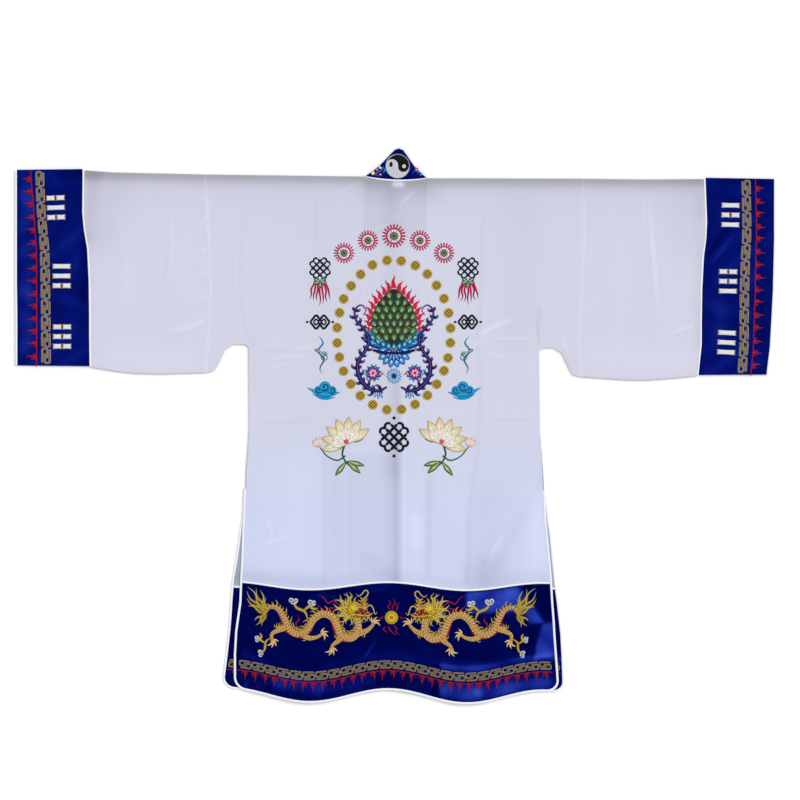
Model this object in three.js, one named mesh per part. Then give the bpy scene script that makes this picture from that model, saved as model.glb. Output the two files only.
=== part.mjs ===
// A Taoist robe with a centre-front opening, laid flat with its back upwards.
// Millimetres, +Z up, +X along the sleeves, +Y towards the collar.
// The pieces are worked out in the garment's own plane, where y is 0 at the shoulder
// fold and falls towards the hem, and the group then moves them about the robe's centre.
import * as THREE from "three";

// Walls and gaps
const CLOTH = 1.4; // white cloth
const SATIN = 1.6; // navy cuffs and hem bands
const BAND = 1.8; // folded collar band
const STRIP = 1.4; // edge of the white piping and binding
const STRIP_SWELL = 0.6; // how much higher the middle of a strip stands
const STRIP_WIDE = 5;
const SEAM = 0.3; // gap between sewn pieces
const UPPER = 2.3; // underside of the upper layer where it lies flat
const FOLD_R = UPPER / 2; // middle radius of a wall that folds from one layer to the other

// Lengths down from the shoulder fold
const ARMPIT = 413;
const SLIT_TOP = 750;
const BAND_TOPS = { Back: 975, Front: 988 }; // lower edges of the white cloth
const BAND_BOTTOM = 1238;
const CORNER_R = 24;

// Widths out from the centre line
const FRONT_EDGE = 72; // half the width of the two collar bands side by side
const CHEST = 348;
const SLEEVE_SEAM = 452;
const CUFF_SEAM = 737;
const CUFF_END = 908;

// Collar and neck
const COLLAR_WIDE = 65;
const COLLAR_START = 2.5; // where the collar's fold starts above the shoulder fold
const COLLAR_SAG = 5.9; // dip of its seam at the centre back
const COLLAR_LEAN = 6; // how far its free edge leans to the right
const COLLAR_WAIST = 0.13; // how much narrower it lies halfway up
const NECK_DIP = 7.7; // dip of the back panel's neckline
const ROUNDEL = { x: 0.5, y: 27.7, radius: 29.2, edge: 0.8, dome: 1.3 };

// Side edges of the back and the front on each side, from the armpit down
const SIDES = [
  { down: 413, leftBack: 348, rightBack: 348, leftFront: 348, rightFront: 348 },
  { down: 600, leftBack: 347, rightBack: 350, leftFront: 347, rightFront: 350 },
  { down: 640, leftBack: 349, rightBack: 353, leftFront: 349, rightFront: 353 },
  { down: 706, leftBack: 354, rightBack: 356, leftFront: 355, rightFront: 358 },
  { down: 750, leftBack: 355, rightBack: 357, leftFront: 356, rightFront: 360 },
  { down: 824, leftBack: 357, rightBack: 360, leftFront: 361, rightFront: 367 },
  { down: 854, leftBack: 359, rightBack: 363, leftFront: 366, rightFront: 372 },
  { down: 915, leftBack: 361, rightBack: 369, leftFront: 374, rightFront: 378 },
  { down: 974, leftBack: 364, rightBack: 374, leftFront: 384, rightFront: 384 },
  { down: 1033, leftBack: 366, rightBack: 377, leftFront: 388, rightFront: 391 },
  { down: 1073, leftBack: 371, rightBack: 380, leftFront: 390, rightFront: 395 },
  { down: 1113, leftBack: 376, rightBack: 382, leftFront: 393, rightFront: 399 },
  { down: 1175, leftBack: 379, rightBack: 386, leftFront: 399, rightFront: 402 },
  { down: 1238, leftBack: 379, rightBack: 390, leftFront: 406, rightFront: 404 },
];

// Depth of the sleeve from its top fold, out along it, with the underarm notch first
const DEPTHS = [
  { out: 348, depth: 413 },
  { out: 355, depth: 406 },
  { out: 384, depth: 405 },
  { out: 404, depth: 418 },
  { out: 418, depth: 446 },
  { out: 430, depth: 470 },
  { out: 452, depth: 475 },
  { out: 560, depth: 481 },
  { out: 620, depth: 481 },
  { out: 680, depth: 477 },
  { out: 737, depth: 472 },
  { out: 742, depth: 472 },
  { out: 915, depth: 468 },
];

// How far the shoulder line lies above its straight place, from left to right
const LIFTS = [
  { x: -915, lift: 19 },
  { x: -742, lift: 21 },
  { x: -737, lift: 18 },
  { x: -670, lift: 13 },
  { x: -450, lift: 8 },
  { x: -73, lift: 3 },
  { x: 73, lift: -1 },
  { x: 450, lift: -2 },
  { x: 600, lift: -4 },
  { x: 737, lift: -3 },
  { x: 742, lift: 0 },
  { x: 915, lift: -3 },
];
const LIFT_FADES = { from: 500, to: 900 };

// How far the sleeve seam and the cuff's two edges lie outwards of straight, down each sleeve
const SWAYS = [
  { down: 0, leftSleeve: 3, leftSeam: 6, leftEnd: -3, rightSleeve: 1, rightSeam: 6, rightEnd: 4 },
  { down: 105, leftSleeve: -6, leftSeam: 7, leftEnd: -3, rightSleeve: 3, rightSeam: 10, rightEnd: 4 },
  { down: 145, leftSleeve: -8, leftSeam: 3, leftEnd: -3, rightSleeve: 3, rightSeam: 8, rightEnd: 4 },
  { down: 190, leftSleeve: -10, leftSeam: -5, leftEnd: -3, rightSleeve: 2, rightSeam: 2, rightEnd: 3 },
  { down: 270, leftSleeve: -13, leftSeam: -9, leftEnd: -3, rightSleeve: 0, rightSeam: -2, rightEnd: 1 },
  { down: 345, leftSleeve: -11, leftSeam: -10, leftEnd: -4, rightSleeve: -8, rightSeam: -3, rightEnd: -3 },
  { down: 400, leftSleeve: -6, leftSeam: -10, leftEnd: -4, rightSleeve: -9, rightSeam: -3, rightEnd: -6 },
  { down: 475, leftSleeve: 1, leftSeam: -11, leftEnd: -4, rightSleeve: -1, rightSeam: -11, rightEnd: -15 },
];
const SWAY_START = 404; // the sleeve's sway starts here, short of its seam

// The hem's wave as it lies, and the shift of the centre line to the right
const WAVE = { from: 640, high: 16, long: 376, x: -206, drop: 2.5, tilt: 0.008 };
const SHIFT = 6;

// Soft folds of the upper layer: each runs from top to foot down the cloth, leans sideways
// over that length and has a half width and a height. One with open 1 stays high to its foot.
const FOLDS = [
  { x: -196, lean: -10, top: 600, foot: 1240, wide: 74, high: 2.7, open: 1 },
  { x: 158, lean: 12, top: 560, foot: 1240, wide: 70, high: 2.7, open: 1 },
  { x: 28, lean: -4, top: 480, foot: 1240, wide: 26, high: 1.5, open: 1 },
  { x: -70, lean: -6, top: 700, foot: 1240, wide: 24, high: 1.0, open: 1 },
  { x: 292, lean: 22, top: 760, foot: 1240, wide: 34, high: 1.3, open: 1 },
  { x: -306, lean: -12, top: 820, foot: 1240, wide: 30, high: 1.1, open: 1 },
  { x: -30, lean: 14, top: 60, foot: 420, wide: 40, high: 1.2, open: 0 },
  { x: 60, lean: -20, top: 40, foot: 300, wide: 26, high: 1.0, open: 0 },
  { x: 300, lean: 40, top: 250, foot: 560, wide: 34, high: 1.2, open: 0 },
  { x: -290, lean: -46, top: 230, foot: 560, wide: 36, high: 1.3, open: 0 },
  { x: -545, lean: 8, top: 40, foot: 440, wide: 40, high: 1.6, open: 0 },
  { x: 628, lean: 10, top: 40, foot: 430, wide: 36, high: 1.6, open: 0 },
  { x: -680, lean: -10, top: 60, foot: 440, wide: 34, high: 1.4, open: 0 },
  { x: 530, lean: -12, top: 50, foot: 440, wide: 30, high: 1.2, open: 0 },
  { x: -838, lean: 14, top: 60, foot: 440, wide: 46, high: 2.0, open: 0 },
  { x: 822, lean: -22, top: 60, foot: 440, wide: 46, high: 2.2, open: 0 },
];
const MOST_RISE = 2.8;
const EDGE_FADE = 45; // folds die away over this distance from a closed edge

// Grid steps
const FOLD_STEPS = 4;
const BACK_PARTS = steps(8);
const FRONT_PARTS = steps(3);
const BACK_ROWS = [ARMPIT, 480, 550, 620, 685, SLIT_TOP, 790, 830, 870, 905, 940, BAND_TOPS.Back];
const FRONT_ROWS = [ARMPIT, 580, 640, SLIT_TOP, 824, 854, 895, 940, BAND_TOPS.Front];
const BAND_PARTS = steps(6);
const NECK_COLUMNS = [0, 18, 36, 55, FRONT_EDGE];
const NECK_BOTH = [...handed(-1, NECK_COLUMNS.slice(1)).reverse(), ...NECK_COLUMNS];
const TRUNK_COLUMNS = [FRONT_EDGE, 112, 150, 190, 230, 270, 305];
const CORNER_COLUMNS = [CORNER_R, 12, 4, 0]; // distances in from the side edge
const HEAD_COLUMNS = [CHEST, 355, 370, 384, 396, 404, 412, 420, 430, SLEEVE_SEAM - SEAM / 2];
const SLEEVE_COLUMNS = [SLEEVE_SEAM + SEAM / 2, 495, 540, 585, 630, 680, CUFF_SEAM];
const CUFF_COLUMNS = [CUFF_SEAM + STRIP_WIDE, 780, 822, 864, CUFF_END];
const COLLAR_PARTS = steps(4);
const COLLAR_RUN = [BAND_BOTTOM, BAND_TOPS.Front, SLIT_TOP, 500, 250, 0]; // up the front bands

const WHITE = new THREE.MeshStandardMaterial({ color: 0xcfd3e8, roughness: 0.75, metalness: 0 });
const NAVY = new THREE.MeshStandardMaterial({ color: 0x0b1673, roughness: 0.4, metalness: 0 });
const TRIM = new THREE.MeshStandardMaterial({ color: 0xf2f3f8, roughness: 0.6, metalness: 0 });
const BLACK = new THREE.MeshStandardMaterial({ color: 0x15151a, roughness: 0.6, metalness: 0 });

// Fractions from 0 to 1 in n equal steps.
function steps(n) {
  return Array.from({ length: n + 1 }, (_, i) => i / n);
}

// A row of distances on the right, or on the left where hand is -1.
function handed(hand, columns) {
  return columns.map((x) => hand * x);
}

function clamp(v, low, high) {
  return Math.min(high, Math.max(low, v));
}

function lerp(a, b, t) {
  return a + (b - a) * t;
}

function smooth(t) {
  const c = clamp(t, 0, 1);
  return c * c * (3 - 2 * c);
}

// Reads column `name` of a table at `key`, with straight lines between its rows.
function read(table, key, at, name) {
  const last = table.length - 1;
  if (at <= table[0][key]) return table[0][name];
  if (at >= table[last][key]) return table[last][name];
  const i = table.findIndex((row) => row[key] >= at);
  const [low, high] = [table[i - 1], table[i]];
  return lerp(low[name], high[name], (at - low[key]) / (high[key] - low[key]));
}

const sideOf = (down, x, layer) => read(SIDES, "down", down, (x < 0 ? "left" : "right") + layer);
const depthAt = (x) => read(DEPTHS, "out", Math.abs(x), "depth");
const neckline = (x) => -FOLD_R - NECK_DIP * (1 - (x / FRONT_EDGE) ** 2);
const collarSeam = (x) => COLLAR_START - COLLAR_SAG * (1 - (x / FRONT_EDGE) ** 2);

// How far the hem's movements reach at this height, from 0 to 1.
const hemShare = (y) => clamp((-y - WAVE.from) / (BAND_BOTTOM - WAVE.from), 0, 1);

// How far a sleeve's point sways outwards.
function sway(x, y) {
  const out = Math.abs(x);
  if (out <= SWAY_START) return 0;
  const side = x < 0 ? "left" : "right";
  const [sleeve, seam, end] = ["Sleeve", "Seam", "End"].map((at) => read(SWAYS, "down", -y, side + at));
  if (out < SLEEVE_SEAM) return (sleeve * (out - SWAY_START)) / (SLEEVE_SEAM - SWAY_START);
  if (out < CUFF_SEAM) return lerp(sleeve, seam, (out - SLEEVE_SEAM) / (CUFF_SEAM - SLEEVE_SEAM));
  return lerp(seam, end, (out - CUFF_SEAM) / (CUFF_END - CUFF_SEAM));
}

// Where a point of the straight garment comes to lie on the floor.
function laid(x, y) {
  const fade = 1 - smooth((-y - LIFT_FADES.from) / (LIFT_FADES.to - LIFT_FADES.from));
  const lift = read(LIFTS, "x", x, "lift") * fade;
  const turn = (2 * Math.PI * (x - WAVE.x)) / WAVE.long;
  const wave = -(WAVE.high * Math.cos(turn) + WAVE.drop + WAVE.tilt * x) * hemShare(y);
  const shift = SHIFT * Math.max(0, 1 - Math.abs(x) / CHEST);
  const up = clamp(y / COLLAR_WIDE, 0, 1);
  const collar = COLLAR_LEAN * up - COLLAR_WAIST * Math.sin(Math.PI * up) * x;
  return [x + Math.sign(x) * sway(x, y) + shift + collar, y + lift + wave];
}

// How far the upper layer rises in its folds.
function rise(x, y) {
  const down = -y;
  let sum = 0;
  for (const f of FOLDS) {
    const along = (down - f.top) / (f.foot - f.top);
    if (along <= 0 || (along >= 1 && !f.open)) continue;
    const across = (x - f.x - f.lean * along) / f.wide;
    const length = f.open ? smooth(along * 1.3) : Math.sin(Math.PI * along) ** 2;
    sum += f.high * length * Math.exp(-across * across);
  }
  const out = Math.abs(x);
  const side = sideOf(down, x, "Back") - out + Math.max(0, ARMPIT - down);
  const near = Math.min(down, out > CHEST && down < ARMPIT ? depthAt(x) - down : side);
  return MOST_RISE * Math.tanh(sum / MOST_RISE) * smooth(near / EDGE_FADE);
}

// Points of a wall's middle surface: p is its place, n the way out of the garment,
// and upper says which layer it is on. Thick is the wall there.
function onLayer(x, y, upper, thick) {
  const [px, py] = laid(x, y);
  const z = thick / 2 + (upper ? UPPER + rise(x, y) : 0);
  return { p: new THREE.Vector3(px, py, z), n: new THREE.Vector3(0, 0, upper ? 1 : -1) };
}

// A point of the fold at the shoulder (way 1) or at the underside (way -1). Turn runs from
// -1 on the lower layer to 1 on the upper one, and edge is the fold's outermost y.
function onFold(x, edge, way, turn, thick) {
  const angle = (turn * Math.PI) / 2;
  const y = edge - way * FOLD_R * (1 - Math.cos(angle));
  const [px, py] = laid(x, y);
  return {
    p: new THREE.Vector3(px, py, thick / 2 + FOLD_R * (1 + Math.sin(angle))),
    n: new THREE.Vector3(0, way * Math.cos(angle), Math.sin(angle)),
  };
}

const turns = (from, to) => steps(FOLD_STEPS).map((t) => lerp(from, to, t));

// Joins blocks of middle-surface points, rows of equal length, into one closed wall.
// Swell raises the top of the upper layer, and with under that of the lower layer too.
function wall(name, material, blocks, thick, swell = () => 0, under = false) {
  const points = [];
  const index = new Map();
  const take = (q, row, column) => {
    const key = q.p.toArray().map((v) => Math.round(v * 100)).join();
    if (!index.has(key)) {
      index.set(key, points.length);
      points.push({ ...q, swell: swell(row, column) });
    }
    return index.get(key);
  };
  const faces = [];
  for (const block of blocks) {
    const ids = block.map((row, r) => row.map((q, c) => take(q, r, c)));
    for (let r = 1; r < ids.length; r++) {
      for (let c = 1; c < ids[r].length; c++) {
        const quad = [ids[r - 1][c - 1], ids[r - 1][c], ids[r][c], ids[r][c - 1]];
        const [a, b, d] = [0, 1, 3].map((i) => points[quad[i]]);
        const across = b.p.clone().sub(a.p).cross(d.p.clone().sub(a.p));
        if (across.dot(a.n) + across.dot(b.n) + across.dot(d.n) < 0) quad.reverse();
        faces.push([quad[0], quad[1], quad[2]], [quad[0], quad[2], quad[3]]);
      }
    }
  }
  const outer = points.map((q) => {
    const more = q.swell * Math.max(0, q.n.z);
    return q.p.clone().addScaledVector(q.n, thick / 2 + more);
  });
  const inner = points.map((q) => {
    const more = under ? q.swell * Math.max(0, -q.n.z) : 0;
    return q.p.clone().addScaledVector(q.n, -thick / 2 - more);
  });
  return solid(name, material, outer, inner, faces);
}

// Closes an outer and an inner sheet of the same faces along their open edges.
function solid(name, material, outer, inner, faces) {
  const n = outer.length;
  const edges = new Set(faces.flatMap(([a, b, c]) => [`${a},${b}`, `${b},${c}`, `${c},${a}`]));
  const all = [];
  for (const [a, b, c] of faces) {
    all.push(a, b, c, n + a, n + c, n + b);
    for (const [from, to] of [[a, b], [b, c], [c, a]]) {
      if (edges.has(`${to},${from}`)) continue;
      all.push(to, from, n + from, to, n + from, n + to);
    }
  }
  const geometry = new THREE.BufferGeometry().setFromPoints([...outer, ...inner]);
  geometry.setIndex(all);
  geometry.computeVertexNormals();
  const mesh = new THREE.Mesh(geometry, material);
  mesh.name = name;
  return mesh;
}

const trunkColumns = (side) => [...TRUNK_COLUMNS, ...CORNER_COLUMNS.map((d) => side - d)];

// One half of the white body: a length of cloth from the back hem band over the
// shoulder to the front hem band, with the head of the sleeve. Hand is 1 right, -1 left.
function body(name, hand) {
  const at = (x, y, upper) => onLayer(hand * x, y, upper, CLOTH);
  const down = (x, top, part) => lerp(top, -depthAt(Math.max(x, CHEST)), part);
  const centre = NECK_COLUMNS.map((x) => Math.max(x, SEAM / 2));
  const neckBlock = BACK_PARTS.map((t) => centre.map((x) => at(x, down(x, neckline(x), t), true)));
  const centreBlock = BACK_ROWS.map((d) => centre.map((x) => at(x, -d, true)));
  const overShoulder = (columns) => [
    ...FRONT_PARTS.toReversed().map((t) => columns.map((x) => at(x, down(x, -FOLD_R, t), false))),
    ...turns(-1, 1).map((turn) => columns.map((x) => onFold(hand * x, 0, 1, turn, CLOTH))),
    ...BACK_PARTS.map((t) => columns.map((x) => at(x, down(x, -FOLD_R, t), true))),
  ];
  const lower = (rows, upper, layer) =>
    rows.map((d) => trunkColumns(sideOf(d, hand, layer)).map((x) => at(x, -d, upper)));
  const blocks = [
    neckBlock,
    centreBlock,
    withoutRepeats(overShoulder(trunkColumns(CHEST))),
    withoutRepeats(overShoulder(HEAD_COLUMNS)),
    lower(BACK_ROWS, true, "Back"),
    lower(FRONT_ROWS, false, "Front"),
  ];
  return wall(name, WHITE, blocks, CLOTH);
}

// Drops a row that lies on the row before it.
function withoutRepeats(rows) {
  return rows.filter((row, r) => r === 0 || row[0].p.distanceTo(rows[r - 1][0].p) > 0.01);
}

// A flattened tube about the arm, such as a sleeve or a cuff, with the given columns.
function tube(name, material, hand, columns, thick, swell) {
  const low = (x) => FOLD_R - depthAt(x);
  const at = (x, t, upper) => onLayer(hand * x, lerp(-FOLD_R, low(x), t), upper, thick);
  const fold = (x, edge, way, turn) => onFold(hand * x, edge, way, turn, thick);
  const rows = withoutRepeats([
    ...FRONT_PARTS.toReversed().map((t) => columns.map((x) => at(x, t, false))),
    ...turns(-1, 1).map((turn) => columns.map((x) => fold(x, 0, 1, turn))),
    ...BACK_PARTS.map((t) => columns.map((x) => at(x, t, true))),
    ...turns(1, -1).map((turn) => columns.map((x) => fold(x, -depthAt(x), -1, turn))),
  ]);
  return wall(name, material, [rows], thick, swell);
}

// A white strip between two columns x0 and x0 + width of the arm.
function armStrip(name, hand, x0) {
  const columns = [0, 0.5, 1].map((t) => x0 + SEAM + t * (STRIP_WIDE - 2 * SEAM));
  return tube(name, TRIM, hand, columns, STRIP, (row, c) => (c === 1 ? STRIP_SWELL : 0));
}

// The lower edge of a hem band, with its corner rounded towards the side.
function bandBottom(x, side) {
  const inside = Math.abs(x) - (side - CORNER_R);
  if (inside <= 0) return BAND_BOTTOM;
  return BAND_BOTTOM - CORNER_R + Math.sqrt(Math.max(0, CORNER_R ** 2 - inside ** 2));
}

// The columns of one front and of the whole back, at a distance down.
const frontWidth = (hand) => (down) => handed(hand, trunkColumns(sideOf(down, hand, "Front")));
const wholeWidth = (down) => {
  const [left, right] = [-1, 1].map((hand) => trunkColumns(sideOf(down, hand, "Back")));
  return [...handed(-1, left).reverse(), ...NECK_BOTH.slice(1, -1), ...right];
};

// Rows of a hem band's points, as [x, down].
function bandRows(columnsAt, layer) {
  const top = BAND_TOPS[layer] + STRIP_WIDE + SEAM;
  return BAND_PARTS.map((t) => {
    const straight = lerp(top, BAND_BOTTOM, t);
    return columnsAt(straight).map((x) => {
      const side = sideOf(straight, x, layer);
      return [x, lerp(top, bandBottom(x, side), t)];
    });
  });
}

function hemBand(name, columnsAt, upper, layer) {
  const rows = bandRows(columnsAt, layer);
  const block = rows.map((row) => row.map(([x, d]) => onLayer(x, -d, upper, SATIN)));
  return wall(name, NAVY, [block], SATIN);
}

// The white strip between the cloth and a hem band.
function hemPiping(name, columnsAt, upper, layer) {
  const top = BAND_TOPS[layer];
  const block = [0, 0.5, 1].map((t) => {
    const down = top + SEAM + t * (STRIP_WIDE - SEAM);
    return columnsAt(top).map((x) => onLayer(x, -down, upper, STRIP));
  });
  const swell = (row) => (row === 1 ? STRIP_SWELL : 0);
  return wall(name, TRIM, [block], STRIP, swell, !upper);
}

// A side edge as [x, y] from the top of the slit down to the hem band's corner.
function sideEdge(hand, columnsAt, layer, rows) {
  const slit = rows.filter((d) => d >= SLIT_TOP).map((d) => [hand * sideOf(d, hand, layer), -d]);
  const rim = (row) => (Math.sign(row.at(-1)[0]) === hand ? row.at(-1) : row[0]);
  const ends = bandRows(columnsAt, layer).map(rim);
  return [...slit, ...ends.map(([x, d]) => [x, -d])];
}

// The hem's lower edge as [x, y], in the order of the columns.
function hemEdge(columnsAt, layer) {
  return bandRows(columnsAt, layer).at(-1).map(([x, d]) => [x, -d]);
}

// A white binding outside a path of [x, y] points. Way is 1 where outside is on the
// path's left as it runs.
function binding(name, path, way, upper) {
  const block = path.map(([x, y], i) => {
    const before = path[Math.max(0, i - 1)];
    const after = path[Math.min(path.length - 1, i + 1)];
    const along = new THREE.Vector2(after[0] - before[0], after[1] - before[1]).normalize();
    const out = new THREE.Vector2(-along.y, along.x).multiplyScalar(way);
    return [0, 0.5, 1].map((t) => {
      const off = SEAM + t * STRIP_WIDE;
      return besideEdge(x + out.x * off, y + out.y * off, x, y, upper);
    });
  });
  return wall(name, TRIM, [block], STRIP, (row, c) => (c === 1 ? STRIP_SWELL : 0), !upper);
}

// A binding's point at (x, y), at the height of the panel's edge (ex, ey) that it is sewn to.
function besideEdge(x, y, ex, ey, upper) {
  const q = onLayer(x, y, upper, STRIP);
  q.p.z = onLayer(ex, ey, upper, STRIP).p.z;
  return q;
}

// The collar: one band that comes up both fronts, folds over at 45 degrees on each side and
// crosses the back of the neck. W is the distance from its seam towards its free edge.
function collar(name) {
  const frontX = (w) => FRONT_EDGE - SEAM - w;
  const out = Math.SQRT1_2;
  const front = (hand) =>
    COLLAR_RUN.map((d) =>
      COLLAR_PARTS.map((t) => {
        const w = t * COLLAR_WIDE;
        const y = d === 0 ? w + COLLAR_START - FOLD_R * out : -d;
        return onLayer(hand * frontX(w), y, false, BAND);
      }),
    );
  const fold = (hand) =>
    turns(-1, 1).map((turn) =>
      COLLAR_PARTS.map((t) => {
        const w = t * COLLAR_WIDE;
        const angle = (turn * Math.PI) / 2;
        const inwards = FOLD_R * (1 - Math.cos(angle)) * out;
        const x = hand * (frontX(w) - inwards + FOLD_R * out);
        const [px, py] = laid(x, w + COLLAR_START - inwards);
        const flat = Math.cos(angle) * out;
        return {
          p: new THREE.Vector3(px, py, BAND / 2 + FOLD_R * (1 + Math.sin(angle))),
          n: new THREE.Vector3(hand * flat, flat, Math.sin(angle)),
        };
      }),
    );
  const across = NECK_BOTH.map((column) =>
    COLLAR_PARTS.map((t) => {
      const w = t * COLLAR_WIDE;
      const x = (column / FRONT_EDGE) * frontX(w);
      const sag = (COLLAR_START - collarSeam(x)) * (1 - t);
      return onLayer(x, w + COLLAR_START - FOLD_R * out - sag, true, BAND);
    }),
  );
  const rows = withoutRepeats([
    ...front(-1),
    ...fold(-1),
    ...across,
    ...fold(1).toReversed(),
    ...front(1).toReversed(),
  ]);
  return wall(name, NAVY, [rows], BAND);
}

// The white piping between the back's neckline and the collar.
function neckPiping(name) {
  const block = NECK_BOTH.map((column) => {
    const x = column * (1 - SEAM / FRONT_EDGE);
    const low = neckline(x) + SEAM;
    const high = collarSeam(x) - FOLD_R * Math.SQRT1_2 - SEAM;
    return [0, 0.5, 1].map((t) => onLayer(x, lerp(low, high, t), true, STRIP));
  });
  return wall(name, TRIM, [block], STRIP, (row, c) => (c === 1 ? STRIP_SWELL : 0));
}

// The round patch on the back of the collar, slightly domed.
function roundel(name) {
  const { radius, edge, dome } = ROUNDEL;
  const rim = radius * 0.93;
  const profile = [[0, 0], [radius, 0], [radius, edge], [rim, dome], [0, dome]];
  const geometry = new THREE.LatheGeometry(profile.map(([x, y]) => new THREE.Vector2(x, y)), 40);
  geometry.rotateX(Math.PI / 2);
  const mesh = new THREE.Mesh(geometry, BLACK);
  mesh.name = name;
  const [x, y] = laid(ROUNDEL.x, ROUNDEL.y);
  mesh.position.set(x, y, UPPER + BAND + SEAM);
  return mesh;
}

const robe = new THREE.Group();
for (const [hand, side] of [[-1, "left"], [1, "right"]]) {
  const width = frontWidth(hand);
  const edge = sideEdge(hand, width, "Front", FRONT_ROWS);
  const path = [...edge, ...hemEdge(width, "Front").toReversed().slice(1)];
  robe.add(
    body(`body_${side}`, hand),
    tube(`sleeve_${side}`, WHITE, hand, SLEEVE_COLUMNS, CLOTH),
    armStrip(`cuff_piping_${side}`, hand, CUFF_SEAM),
    tube(`cuff_${side}`, NAVY, hand, CUFF_COLUMNS, SATIN),
    armStrip(`cuff_binding_${side}`, hand, CUFF_END),
    hemPiping(`hem_piping_front_${side}`, width, false, "Front"),
    hemBand(`hem_band_front_${side}`, width, false, "Front"),
    binding(`binding_front_${side}`, path, hand, false),
  );
}
const edges = [-1, 1].map((hand) => sideEdge(hand, wholeWidth, "Back", BACK_ROWS));
const aroundBack = [
  ...edges[0],
  ...hemEdge(wholeWidth, "Back").slice(1, -1),
  ...edges[1].toReversed(),
];
robe.add(
  hemPiping("hem_piping_back", wholeWidth, true, "Back"),
  hemBand("hem_band_back", wholeWidth, true, "Back"),
  binding("binding_back", aroundBack, -1, true),
  collar("collar"),
  neckPiping("neck_piping"),
  roundel("collar_roundel"),
);

// The origin is under the middle of the robe's box.
const centre = new THREE.Box3().setFromObject(robe).getCenter(new THREE.Vector3());
robe.position.set(-centre.x, -centre.y, 0);

export default robe;
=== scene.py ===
"""A Taoist robe laid flat with its back upwards: cloth shells, piping, embroidery, light and camera."""

import math

import bmesh
import bpy
import numpy as np
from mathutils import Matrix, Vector


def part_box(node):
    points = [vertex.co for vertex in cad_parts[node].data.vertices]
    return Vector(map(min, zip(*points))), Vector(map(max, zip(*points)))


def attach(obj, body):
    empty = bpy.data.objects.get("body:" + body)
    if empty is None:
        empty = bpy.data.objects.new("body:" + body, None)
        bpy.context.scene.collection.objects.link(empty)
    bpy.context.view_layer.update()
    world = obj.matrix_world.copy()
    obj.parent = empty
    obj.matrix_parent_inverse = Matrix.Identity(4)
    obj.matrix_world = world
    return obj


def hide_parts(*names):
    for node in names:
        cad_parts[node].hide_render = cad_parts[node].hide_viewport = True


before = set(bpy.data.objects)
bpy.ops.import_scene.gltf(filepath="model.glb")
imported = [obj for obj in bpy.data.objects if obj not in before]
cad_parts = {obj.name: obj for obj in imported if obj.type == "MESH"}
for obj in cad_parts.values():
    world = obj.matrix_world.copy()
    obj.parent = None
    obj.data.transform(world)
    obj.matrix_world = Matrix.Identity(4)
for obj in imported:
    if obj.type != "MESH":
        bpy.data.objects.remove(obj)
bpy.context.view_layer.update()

# ---------------------------------------------------------------- the robe's form, in millimetres
# x runs along the sleeves from the centre line, y up from the shoulder fold towards the collar.
CLOTH, SATIN, BAND, STRIP = 1.4, 1.6, 1.8, 1.4
STRIP_SWELL, STRIP_WIDE, SEAM, UPPER = 0.6, 5, 0.3, 2.3
FOLD_R = UPPER / 2
ARMPIT, SLIT_TOP, BAND_BOTTOM, CORNER_R = 413, 750, 1238, 24
BAND_TOPS = {"Back": 975, "Front": 988}
FRONT_EDGE, CHEST, SLEEVE_SEAM, CUFF_SEAM, CUFF_END = 72, 348, 452, 737, 908
COLLAR_WIDE, COLLAR_START, COLLAR_SAG, COLLAR_LEAN, COLLAR_WAIST, NECK_DIP = 65, 2.5, 5.9, 6, 0.13, 7.7
ROUNDEL_AT, ROUNDEL_R = (0.5, 27.7), 29.2

# down, then the side edge of the back on the left and right, and of the front on the left and right
SIDES = np.array([
    (413, 348, 348, 348, 348), (600, 347, 350, 347, 350), (640, 349, 353, 349, 353),
    (706, 354, 356, 355, 358), (750, 355, 357, 356, 360), (824, 357, 360, 361, 367),
    (854, 359, 363, 366, 372), (915, 361, 369, 374, 378), (974, 364, 374, 384, 384),
    (1033, 366, 377, 388, 391), (1073, 371, 380, 390, 395), (1113, 376, 382, 393, 399),
    (1175, 379, 386, 399, 402), (1238, 379, 390, 406, 404),
])
# out along the sleeve, depth of the sleeve
DEPTHS = np.array([
    (348, 413), (355, 406), (384, 405), (404, 418), (418, 446), (430, 470), (452, 475),
    (560, 481), (620, 481), (680, 477), (737, 472), (742, 472), (915, 468),
])
# x, how far the shoulder line lies above straight
LIFTS = np.array([
    (-915, 19), (-742, 21), (-737, 18), (-670, 13), (-450, 8), (-73, 3), (73, -1), (450, -2),
    (600, -4), (737, -3), (742, 0), (915, -3),
])
# down, then the sway of the sleeve seam, cuff seam and cuff end on the left and on the right
SWAYS = np.array([
    (0, 3, 6, -3, 1, 6, 4), (105, -6, 7, -3, 3, 10, 4), (145, -8, 3, -3, 3, 8, 4),
    (190, -10, -5, -3, 2, 2, 3), (270, -13, -9, -3, 0, -2, 1), (345, -11, -10, -4, -8, -3, -3),
    (400, -6, -10, -4, -9, -3, -6), (475, 1, -11, -4, -1, -11, -15),
])
SWAY_START = 404
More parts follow.
